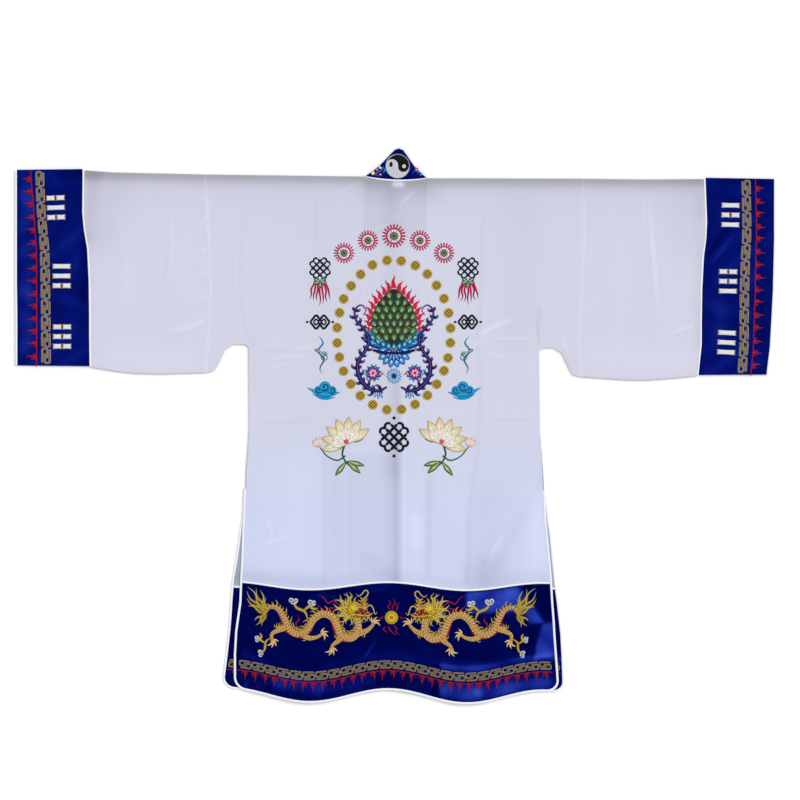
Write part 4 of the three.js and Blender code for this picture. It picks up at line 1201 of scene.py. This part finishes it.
def peony(work, x, y, size):
    """A violet bloom with a ring of cyan leaves and a red heart."""
    for start, step, reach, wide, colour, edge, heart, vein, lift in (
        (10, 30, 1.25, 0.2, CYAN, (14, 80, 150), WHITE, None, 0.0),
        (0, 40, 1, 0.33, (58, 34, 128), (18, 14, 66), (120, 90, 190), (190, 170, 220), 0.4),
        (20, 60, 0.62, 0.24, (232, 120, 160), MAGENTA, WHITE, None, 0.9),
    ):
        angles = range(start, start + 360, step)
        sprig(work, x, y, angles, size * reach, size * wide, colour, edge, heart, vein=vein, lift=lift)
    work.disc(x, y, size * 0.2, RED, DARK_RED, high=0.5, lift=1.4)


def bud(work):
    """A flaming lotus bud of many pointed scales on a throne of petals, in the middle."""
    half = [(25, 330), (25, 316), (19, 302), (10, 292)]
    outline = [*((-x, y) for x, y in half), (0, 285), *half[::-1]]
    for k, (p, w, s) in enumerate(zip(*along(outline, 19))):
        aim = s * 0.75 + (0, -0.7)
        aim /= np.hypot(*aim)
        tall = (11.5 if k == 9 else 6.2 + 2.2 * math.sin(math.pi * k / 18)) * rng.uniform(0.92, 1.08)
        lean = 0.9 * (1 if k < 9 else -1) * w
        tip = p + aim * tall + lean * 0.4
        line = [p - aim * 3, p + aim * tall * 0.35 + lean, p + aim * tall * 0.7 - lean * 0.5, tip]
        work.stroke(line, [3.0, 2.3, 1.0, 0.12], MAGENTA, (216, 60, 70), RED)
    for angle, reach, wide, colour, edge, heart, lift in (
        (66, 34, 4.6, (18, 40, 150), (14, 22, 90), CYAN, 0.0), (52, 31, 3.6, CYAN, (18, 90, 160), WHITE, 0.3),
    ):
        sprig(work, 0, 352, (-angle, angle), reach, wide, colour, edge, heart, 3, heart, lift)
    half = [(11, 296), (19, 307), (22, 320), (20, 335), (14, 346)]
    work.fill([(0, 288), *half, *((-x, y) for x, y in half[::-1])], (20, 64, 44), (60, 18, 34), high=0.8)
    for k, half in enumerate((4.5, 10, 14.5, 17.5, 18.5, 17.5, 14.5)):
        y, count = 300 + 7 * k, max(2, round(2 * half / 6.6) + 1)
        colour, lift = ((30, 110, 62), (22, 92, 66), (40, 120, 50))[k % 3], 0.12 * k
        for x in (lerp(-half, half, i / (count - 1)) for i in range(count)):
            sprig(work, x, y, (x * 1.3,), 9.2, 3.7, colour, (104, 20, 40), (150, 190, 120), lift=0.5 + lift)
            work.disc(x * 1.01, y - 3.0, 0.85, (232, 222, 170), (120, 60, 30), high=0.4, lift=1.2 + lift)
    for widest, reach, wide, colour, edge, heart, lift in (
        (84, 16, 3.9, CYAN, (20, 50, 150), WHITE, 1.0), (72, 11, 3.2, (24, 60, 170), (16, 20, 96), CYAN, 1.4),
    ):
        angles = range(180 - widest, 181 + widest, 24)
        sprig(work, 0, 350, angles, reach, wide, colour, edge, heart, 2.0, WHITE, lift)
    for x in (4.6 * k for k in range(-4, 5)):
        y = 351 - 0.03 * x * x
        sprig(work, x, y, (x * 2.2,), 8.5, 2.7, TEAL, (14, 40, 110), (180, 226, 232), lift=1.7)
    line = [(-21, 350), (-10, 352.5), (0, 353), (10, 352.5), (21, 350)]
    work.stroke(line, [1.2, 1.7, 1.7, 1.2], (22, 22, 96), BLACK, lift=1.8)


def spray(work):
    """An ivory lotus in side view with leaves and a second bud, leaning left."""
    vein, rim, ivory_vein = (150, 116, 46), (176, 146, 78), (236, 232, 190)
    draw(work, (
        ([(2, 2), (8, 10), (7, 20), (0, 27)], [1.0, 0.9, 0.8, 0.5], (52, 104, 44), (26, 60, 30)),
        ([(6, 12), (14, 13), (21, 6), (24, -4)], [0.8, 0.7, 0.6, 0.5], (52, 104, 44), (26, 60, 30)),
    ))
    for x, y, angles, reach, wide, colour, edge, heart, vein_colour, lift in (
        (7, 17, (118, 232, 205), 17, 2.5, (84, 124, 48), (30, 70, 34), (206, 212, 150), ivory_vein, 0),
        (-1, 1, (-104, 100), 15, 2.2, (96, 132, 56), (34, 76, 36), (214, 216, 160), ivory_vein, 0),
        (24, -4, (-24, 0, 24), 10, 2.4, (238, 222, 220), rim, WHITE, (206, 60, 90), 0.2),
        (0, 2, (-82, 82, -55, 55, -28, 28, 0), 24, 4.6, IVORY, rim, WHITE, vein, 0.3),
        (0, 3, (-66, 66, -40, 40, -14, 14), 17, 4.0, (246, 240, 222), rim, WHITE, vein, 0.8),
        (0, 3, (-50, 50, -20, 20), 10, 3.0, WHITE, (196, 170, 110), IVORY, vein, 1.2),
        (0, 3, (-12, 12), 5, 1.7, (228, 80, 110), MAROON, None, None, 1.6),
    ):
        sprig(work, x, y, angles, reach, wide, colour, edge, heart, vein=vein_colour, lift=lift)


def ray(aim, reach=1.0):
    """A step in a direction given in degrees clockwise from right."""
    return np.array([math.cos(math.radians(aim)), math.sin(math.radians(aim))]) * reach


TAN, RUST, GOLD, DARK = (234, 180, 130), (98, 42, 22), (230, 192, 46), (88, 60, 14)
SPINE = [(-49, -7), (-43, -14), (-35, -12), (-29, -3), (-24, 8), (-15, 13), (-6, 9), (0, -1), (9, -7),
         (19, -4), (24, 5), (28, 14), (37, 17), (44, 12), (45, 4), (42, -4)]
SPINE_HALF = np.array([1.3, 2.2, 2.8, 3.2, 3.5, 3.6, 3.6, 3.6, 3.7, 3.7, 3.7, 3.8, 4.1, 4.0, 3.7, 3.4])
# degrees clockwise from right, length
TAIL = [(228, 29), (238, 32), (248, 27), (259, 24), (217, 24), (206, 19), (270, 16), (150, 13), (128, 15),
        (108, 13)]
MANE = [(198, 19), (214, 20), (230, 19), (246, 18), (262, 14), (182, 18), (167, 17), (152, 17), (136, 16),
        (120, 13)]
INNER_MANE = [(205, 13), (222, 14), (238, 13), (190, 12), (173, 12), (158, 12), (141, 11), (124, 9)]
# path, then the way the claws point
LEGS = [
    ([(46, 12), (53, 10), (58, 6), (61, 2)], -35), ([(31, 15), (25, 20), (20, 24), (18, 28)], 95),
    ([(-12, 12), (-4, 17), (4, 16), (9, 13)], 10), ([(-26, 6), (-34, 9), (-41, 13), (-41, 20)], 80),
]
# the head's strokes: path, widths, colour, colour of the edge, lift
FACE = [
    ([(51, -22), (54.5, -26), (54.8, -29.5), (51.8, -30.5), (48.5, -26.5), (45, -25), (43, -27.5)],
     [1.1, 0.9, 0.85, 0.85, 0.75, 0.6, 0.15], (244, 228, 140), DARK, 0.4),
    ([(52.5, -12.5), (55.5, -15.5), (58.8, -15), (60.8, -10.5), (62, -6.8), (64.6, -9.4)],
     [0.9, 0.9, 0.85, 0.8, 0.7, 0.15], (244, 228, 140), DARK, 0.4),
    ([(38.5, -6.6), (45, -5.6), (52, -5.0), (56.5, -5.8), (59.8, -8)],
     [2.7, 2.5, 2.1, 1.5, 0.5], (240, 208, 58), DARK, 0.9),
    ([(43, -13.4), (47.5, -13.8), (51.5, -12.2), (54.4, -11.4)],
     [2.5, 2.5, 2.0, 1.0], (232, 184, 66), DARK, 1.2),
    ([(49.5, -12.6), (51.2, -16.2), (50, -19.6), (51.4, -23.4)],
     [2.3, 2.5, 2.0, 0.9], (232, 176, 70), (150, 84, 22), 1.3),
    ([(38.5, -16.4), (42, -18.6), (46.8, -17)], [0.7, 1.3, 0.2], (250, 230, 100), DARK, 1.9),
    ([(38, -17), (37, -21), (39, -25), (36, -29)], [1.5, 1.15, 0.8, 0.15], (240, 212, 92), DARK, 1.3),
    ([(38, -22.5), (34.5, -25), (33.5, -28.5)], [1.5, 1.15, 0.8, 0.15], (240, 212, 92), DARK, 1.3),
    ([(42, -18), (41.4, -21.6), (43.4, -24)], [1.5, 1.15, 0.8, 0.15], (240, 212, 92), DARK, 1.3),
]
FACE_LINES = [
    [(38, -9.6), (41, -11), (43, -10.2)], [(36.4, -13), (38.6, -11.6), (37.6, -9)],
    [(44.6, -12.4), (48, -12.6), (51.4, -11.2)], [(41, -6), (48, -4.6), (54, -5)],
    [(50.4, -14.6), (49.4, -17.4), (50.6, -20.4)],
]
MOUTH = [(42, -11), (47, -11.8), (53, -10.6), (57.6, -8.6), (54, -6.6), (48, -6.4), (42, -7.6)]
SKULL = [(33.5, -9.5), (35.5, -15.5), (40, -19), (45, -18.6), (48, -15), (46.5, -11.4), (41.5, -8), (36, -6)]
# x, y, then degrees and length, or the height of a tooth
SPIKES = [(49, -15.5, 205, 4.4), (48.8, -18.6, 215, 4.6), (51.6, -19.6, 318, 4.2), (52.4, -16.4, 330, 3.2),
          (49.6, -21, 232, 4)]
TEETH = [(45.4, -10.6, 1.7), (50.6, -10.4, 1.5), (54.6, -9.6, 2.0), (47, -7.2, -1.5), (52.6, -7, -1.6),
         (56, -7.4, -1.6)]


def lock(work, root, aim, reach, wide, colour, end, lift=0.0, bend=0.12):
    """A lock of hair, or a spike, that bends to one side and back."""
    out, side = ray(aim), ray(aim + 90) * (reach * bend)
    tip = root + out * reach + side * 0.6
    line = [root, root + out * reach * 0.33 + side, root + out * reach * 0.7 - side, tip]
    work.stroke(line, [wide, wide * 1.05, wide * 0.65, 0.12], colour, DARK, end, lift=lift)


def spine(count, first, last):
    """Places, directions, left-hand sides and half widths along the dragon's body."""
    half = np.interp(np.linspace(first, last, count), np.linspace(0, 1, 16), SPINE_HALF)
    return [*along(SPINE, count, first, last), half]


def dragon_leg(work, path, aim):
    for turn in (148, 172, 198, 222):
        lock(work, np.array(path[1], float), aim + turn, 7.5, 0.95, GOLD, (246, 226, 110))
    work.stroke(path, [3.5, 2.7, 1.9, 1.4], TAN, GOLD, high=1.1)
    for k, (p, w, s) in enumerate(zip(*along(path, 9, 0.06, 0.94))):
        half = s * (2.2 - 0.13 * k)
        line = [p + half - w * 0.6, p + w * 0.6, p - half - w * 0.6]
        work.stroke(line, 0.3, RUST, high=0.3, lift=1.0, step=0.9)
    foot = np.array(path[-1], float)
    for turn in (-88, -40, 4, 46):
        out, side = ray(aim + turn), ray(aim + turn + 90)
        line = [foot + out * a + side * b for a, b in ((0, 0), (2.6, -0.9), (5.0, 0.2), (6.6, 1.4))]
        work.stroke(line, [1.2, 1.05, 0.75, 0.1], TAN, GOLD, (252, 250, 244), lift=0.2)
    work.disc(*foot, 1.5, TAN, GOLD, high=0.7, lift=0.5)


def dragon_head(work):
    root = np.array([39.5, -10.0])
    for k, (aim, reach) in enumerate(MANE + INNER_MANE):
        wide, colour, lift = (1.8, (236, 200, 36), 0.6) if k >= len(MANE) else (2.2, YELLOW, 0.3)
        lock(work, root + ray(aim, 1.5), aim, reach, wide, colour, (248, 234, 140), lift, 0.08 * (-1) ** k)
    for k in range(9):
        chin = np.array([40 + k * 2.0, -4.4 - 0.12 * k])
        lock(work, chin, 108 - 3.2 * k, 9.4 - 0.5 * k, 1.0, YELLOW, (248, 234, 140), 0.5, 0.1 * (-1) ** k)
    work.fill(MOUTH, (150, 10, 34), (84, 6, 24), lift=0.7)
    work.fill(SKULL, GOLD, DARK, heart=(246, 220, 78), high=1.4, lift=0.8)
    for path, widths, colour, edge, lift in FACE:
        work.stroke(path, widths, colour, edge, lift=lift)
    for x, y, aim, reach in SPIKES:
        lock(work, np.array([x, y]), aim, reach, 0.95, (236, 190, 84), (250, 226, 130), 1.2)
    for x, y, tip in TEETH:
        tooth = [(x, y), (x + 0.15, y + tip * 0.5), (x, y + tip)]
        work.stroke(tooth, [0.45, 0.35, 0.08], IVORY, lift=1.4, step=0.5)
    draw(work, ((line, 0.28, RUST) for line in FACE_LINES), high=0.3, lift=2.1, step=0.8)
    work.disc(52.4, -13.2, 1.0, (252, 236, 160), RUST, high=0.6, lift=1.6)
    work.disc(43.6, -15.4, 1.35, IVORY, RUST, high=0.5, lift=2.0)
    work.disc(44, -15.2, 0.7, BLACK, high=0.3, lift=2.4, step=0.6)


def dragon(work):
    """A gold dragon that runs to the right, drawn from the tail to the head."""
    for k, (aim, reach) in enumerate(TAIL):
        bend = 0.055 * (-1) ** k
        lock(work, np.array([-47.5, -7.5]), aim, reach, 1.8, (184, 158, 40), (244, 226, 120), bend=bend)
    for path, aim in LEGS:
        dragon_leg(work, path, aim)
    for first, last in ((0.16, 0.31), (0.33, 0.44), (0.64, 0.83)):
        places, _, sides, half = spine(8, first, last)
        work.stroke(places - sides * half[:, None] * 0.92, [0.4, 1.6, 1.7, 1.4, 0.4], RED, DARK_RED)
    for k, (p, w, s, half) in enumerate(zip(*spine(46, 0.02, 0.93))):
        tall = 5.0 if k % 3 == 1 else 2.6
        root = p + s * half * 0.6
        line = [root, root + s * tall * 0.7 - w * 0.3, root + s * (tall + 0.6) - w * (0.6 + tall * 0.6)]
        work.stroke(line, [1.15, 0.85, 0.1], GOLD, DARK, (248, 228, 120))
    work.stroke(SPINE, SPINE_HALF, TAN, GOLD, high=1.3)
    for p, w, s, half in zip(*spine(50, 0.01, 0.99)):
        for off, ahead in ((0.62, -0.2), (0.02, 0.5), (-0.5, -0.2)):
            root = p + s * half * off + w * ahead
            line = [root + s * a + w * b for a, b in ((0.95, -0.7), (0.4, 0.45), (-0.4, 0.45), (-0.95, -0.7))]
            work.stroke(line, 0.42, RUST, (150, 80, 40), high=0.4, lift=1.2, step=0.8)
            work.disc(*(root - w * 0.1), 0.42, (252, 226, 190), high=0.25, lift=1.3, step=0.6)
    for p, w, s, half in zip(*spine(60, 0.04, 0.97)):
        line = [p - s * half * 0.72, p - s * half * 0.98 + w * 0.3]
        work.stroke(line, 0.32, (252, 232, 150), high=0.3, lift=1.05, step=0.8)
    dragon_head(work)


def hem_cloud(work):
    """Two white curls on a forked gold trail."""
    trails = [(-7.5, 0), (-4, 5), (4, 9), (7, 18)], [(11, 1.5), (7, 4), (2, 8)], [(9, 4), (13, 6), (17, 5)]
    for line in trails:
        work.stroke(line, [1.3, 1.7, 1.4, 0.2], (226, 200, 60), (130, 104, 20))
    for x, y, flip in ((-7.5, -2.5, 1), (11, -0.5, -1)):
        draw(work, (
            (spiral(x - 2.0, y, 2.5, 0.5, 2.4, 1.35, flip), [0.3, 0.8, 0.75, 0.3], WHITE, (196, 202, 224)),
            (spiral(x + 2.1, y, 2.3, 0.5, 0.7, 1.35, -flip), [0.3, 0.8, 0.75, 0.3], WHITE, (196, 202, 224)),
            ([(x - 3.4, y + 2.3), (x, y + 3.2), (x + 3.4, y + 2.2)], 0.7, WHITE, (196, 202, 224)),
        ))


def wisp(work, points, width=0.9):
    work.stroke(points, [0.15, width, width * 0.9, width * 0.6, 0.12], RED, DARK_RED)


# ---------------------------------------------------------------- the hem's and the collar's embroidery
charms = Threadwork("embroidery_dragons", UPPER + SATIN, shade=0.87)
for hand in (-1, 1):
    whole = charms.at(391.5 + hand * 78.5, 621.5 + 0.5 * hand, -hand)
    dragon(charms)
    for line in (
        [(27, -15), (21, -20), (15, -18), (10, -24), (5, -26)],
        [(24, -12), (18, -13), (13, -10), (8, -13), (3, -17)],
        [(-16, 6), (-17, 2), (-14, -1), (-15, -5)],
    ):
        wisp(charms, line)
    charms.at(-12, -18, within=whole)
    hem_cloud(charms)
    charms.at(-53, 26, 1, -1.9, 0.8, whole)
    hem_cloud(charms)
charms.at(391.5, 617.5)
charms.disc(0, 0, 6.8, YELLOW, (168, 140, 24), heart=(236, 214, 90), high=1.0)
charms.ring(0, 0, 4.6, 0.3, (150, 110, 20), high=0.3, lift=0.95)
charms.disc(0, 0, 2.0, (214, 130, 30), RED, high=0.4, lift=0.95)
for line in (
    [(-1.5, -7), (-3.5, -11), (-1, -14), (-3, -18)], [(1.5, -7), (1, -11), (3.5, -14), (2, -19)],
    [(4, -6.5), (6, -9), (5.5, -12), (8, -15)], [(-3, 7.5), (-2, 12), (1, 15), (4, 18)],
    [(2, 8), (5, 11), (4.5, 15), (8, 17)], [(-6, 9), (-8, 12), (-4, 15)], [(-8, -1), (-11, 1), (-14, 0)],
    [(8, -1), (11, 1), (14, 0)],
):
    wisp(charms, line, 0.75)
charms.build()

buds = Threadwork("embroidery_collar", UPPER + BAND, False)
for x, y, angle, size, colour, edge in (
    (373, 173, 40, 2.3, YELLOW, (190, 150, 20)), (377, 169.5, 45, 2.0, RED, MAROON),
    (380.3, 174.6, 60, 1.9, MAGENTA, (140, 10, 60)), (416.6, 169.6, 20, 2.2, (214, 40, 70), MAROON),
    (420.8, 174.6, 10, 1.5, (84, 40, 130), NAVY),
):
    pale = lerp(np.array(colour), 255, 0.4)
    sprig(buds, x, y, range(angle, angle + 360, 72), size, size * 0.45, colour, edge, pale)
    buds.disc(x, y, size * 0.25, WHITE, high=0.4, lift=0.8)
draw(buds, ((line, [0.15, 0.6, 0.6, 0.15], colour) for line, colour in (
    ([(375, 176), (378, 172), (382, 170), (384, 166)], TEAL), ([(383, 173), (385, 170), (383.5, 168)], CYAN),
    ([(412, 175), (414, 171), (418, 172.5), (416, 175)], (20, 60, 170)),
    ([(423, 175.5), (420, 172), (417.5, 173.5)], CYAN),
    ([(378, 175.5), (375.5, 174), (377, 172)], (60, 90, 220)),
)))
sprig(buds, 379, 168.5, (20, 75), 3.4, 0.75, WHITE, (196, 198, 208))
buds.build()

# ---------------------------------------------------------------- the back's embroidery, a design of its own
MIDDLE, COINS = 394.0, 28
back = Threadwork("embroidery_back", UPPER + CLOTH, shade=0.95)
back.at(MIDDLE)
turn = np.linspace(0, 2 * np.pi, 200)
ring = evenly(np.stack([57 * np.sin(turn), 335 - 75 * np.cos(turn)], -1), 1.0)
for k in range(COINS):
    x, y = ring[round((k + 0.5) * (len(ring) - 1) / COINS)]
    coin(back, x + rng.uniform(-0.4, 0.4), y + rng.uniform(-0.4, 0.4), 5.1)
bud(back)
for x, y, size in ((0, 236, 9.4), (26, 240.5, 8.2), (-26, 240.5, 8.2), (50, 253, 8.2), (-50, 253, 8.2)):
    blossom(back, x, y, size)
for hand in (-1, 1):
    back.at(MIDDLE, 0, hand)
    for line in ([(9, 237), (13, 234), (17, 239)], [(34, 243), (38, 243.5), (42, 248)],
                 [(57, 257), (60, 262), (66, 265), (70, 271)]):
        back.stroke(line, [0.2, 0.5, 0.2], WHITE, (226, 226, 232))
    scroll(back)
    peony(back, 21, 373, 7.6)
    knot(back, 74, 268, 8.2, (20, 18, 60), BLACK, 1.0)
    tassel(back, 74, 284, 8.5, 21)
    lattice(back, 74, 322, 7.4)
    vine = [(75, 336), (71, 343), (76, 351), (70, 359), (74, 368), (72, 374)]
    back.stroke(vine, [0.15, 0.9, 0.8, 1.0, 0.7, 0.12], CYAN, (14, 90, 130), (24, 60, 44))
    sprig(back, 73, 352, (70, -110), 7, 1.7, (44, 110, 70), (16, 56, 40), (170, 206, 160), vein=WHITE)
    back.stroke(spiral(69, 357, 4.2, 0.5, -0.6, 1.2), 0.55, CYAN, TEAL)
    cloud(back, 69, 390, 7.4, CYAN, (16, 110, 180), BLACK if hand < 0 else NAVY, (40, 190, 230))
    white_curl(back, 27, 290, 1)
    wisp(back, [(9, 376), (12, 373), (14, 377), (17, 374), (19, 378)], 0.6)
    back.at(48, 441, 1, 0.42, 1.1, back.move)
    spray(back)
back.at(MIDDLE)
sprig(back, 0, 376, range(0, 360, 24), 7.2, 1.15, (40, 170, 220), (14, 60, 150), WHITE, 1.0)
back.disc(0, 376, 2.4, (20, 30, 110), MAGENTA, high=0.5, lift=0.8)
knot(back, 0, 437, 11.5, BLACK, (20, 20, 40), 1.45)
for y in (418, 456):
    back.disc(0, y, 1.7, BLACK, (30, 30, 60))
back.build()


# ---------------------------------------------------------------- floor
def plane(name, size, z):
    mesh = bpy.data.meshes.new(name)
    corners = [(x * size, y * size, z) for x, y in ((-1, -1), (1, -1), (1, 1), (-1, 1))]
    mesh.from_pydata(corners, [], [(0, 1, 2, 3)])
    material, tree, shader = new_material(name)
    grey = node(tree, "MapRange", node(tree, "TexNoise", Scale=3.0, Detail=2.0), To_Min=0.965, To_Max=0.975)
    feed(tree, shader, Base_Color=node(tree, "CombineColor", grey, grey, grey), Roughness=0.9)
    return make_object(name, mesh, material)


floor = plane("floor", 15.0, -0.0003)

# ---------------------------------------------------------------- the cloth as it was cut
cuts["collar"] = (COLLAR_WIDE / 1000, (2 * BAND_BOTTOM + 2 * FRONT_EDGE) / 1000, cuts["collar"][2])


# ---------------------------------------------------------------- light and camera
SUN_TOWARD, SUN_ANGLE, SUN_STRENGTH, SKY = (1.5, 1.3, 1.5), 35, 1.75, 0.72
LENS, SENSOR, SEEN_WIDE, CAMERA_AT, CAMERA_LIFT = 200, 36, 1.92, (14.4, -532.8), 0.005

scene = bpy.context.scene
scene.view_settings.view_transform = "Standard"
scene.world = bpy.data.worlds.new("studio")
scene.world.use_nodes = True
background = scene.world.node_tree.nodes["Background"]
background.inputs["Color"].default_value = (1.0, 1.0, 1.0, 1.0)
background.inputs["Strength"].default_value = SKY

sun_data = bpy.data.lights.new("key", "SUN")
sun_data.angle, sun_data.energy = math.radians(SUN_ANGLE), SUN_STRENGTH
sun = bpy.data.objects.new("key", sun_data)
sun.rotation_mode = "QUATERNION"
sun.rotation_quaternion = Vector(SUN_TOWARD).to_track_quat("Z", "Y")
scene.collection.objects.link(sun)

camera_data = bpy.data.cameras.new("camera")
camera_data.lens, camera_data.sensor_width, camera_data.clip_end = LENS, SENSOR, 60
camera = bpy.data.objects.new("camera", camera_data)
x, y = ((at + shift) / 1000 for at, shift in zip(CAMERA_AT, (SHIFT_X, SHIFT_Y)))
camera.location = (x, y, CAMERA_LIFT + SEEN_WIDE * LENS / SENSOR)
scene.collection.objects.link(camera)
scene.camera = camera
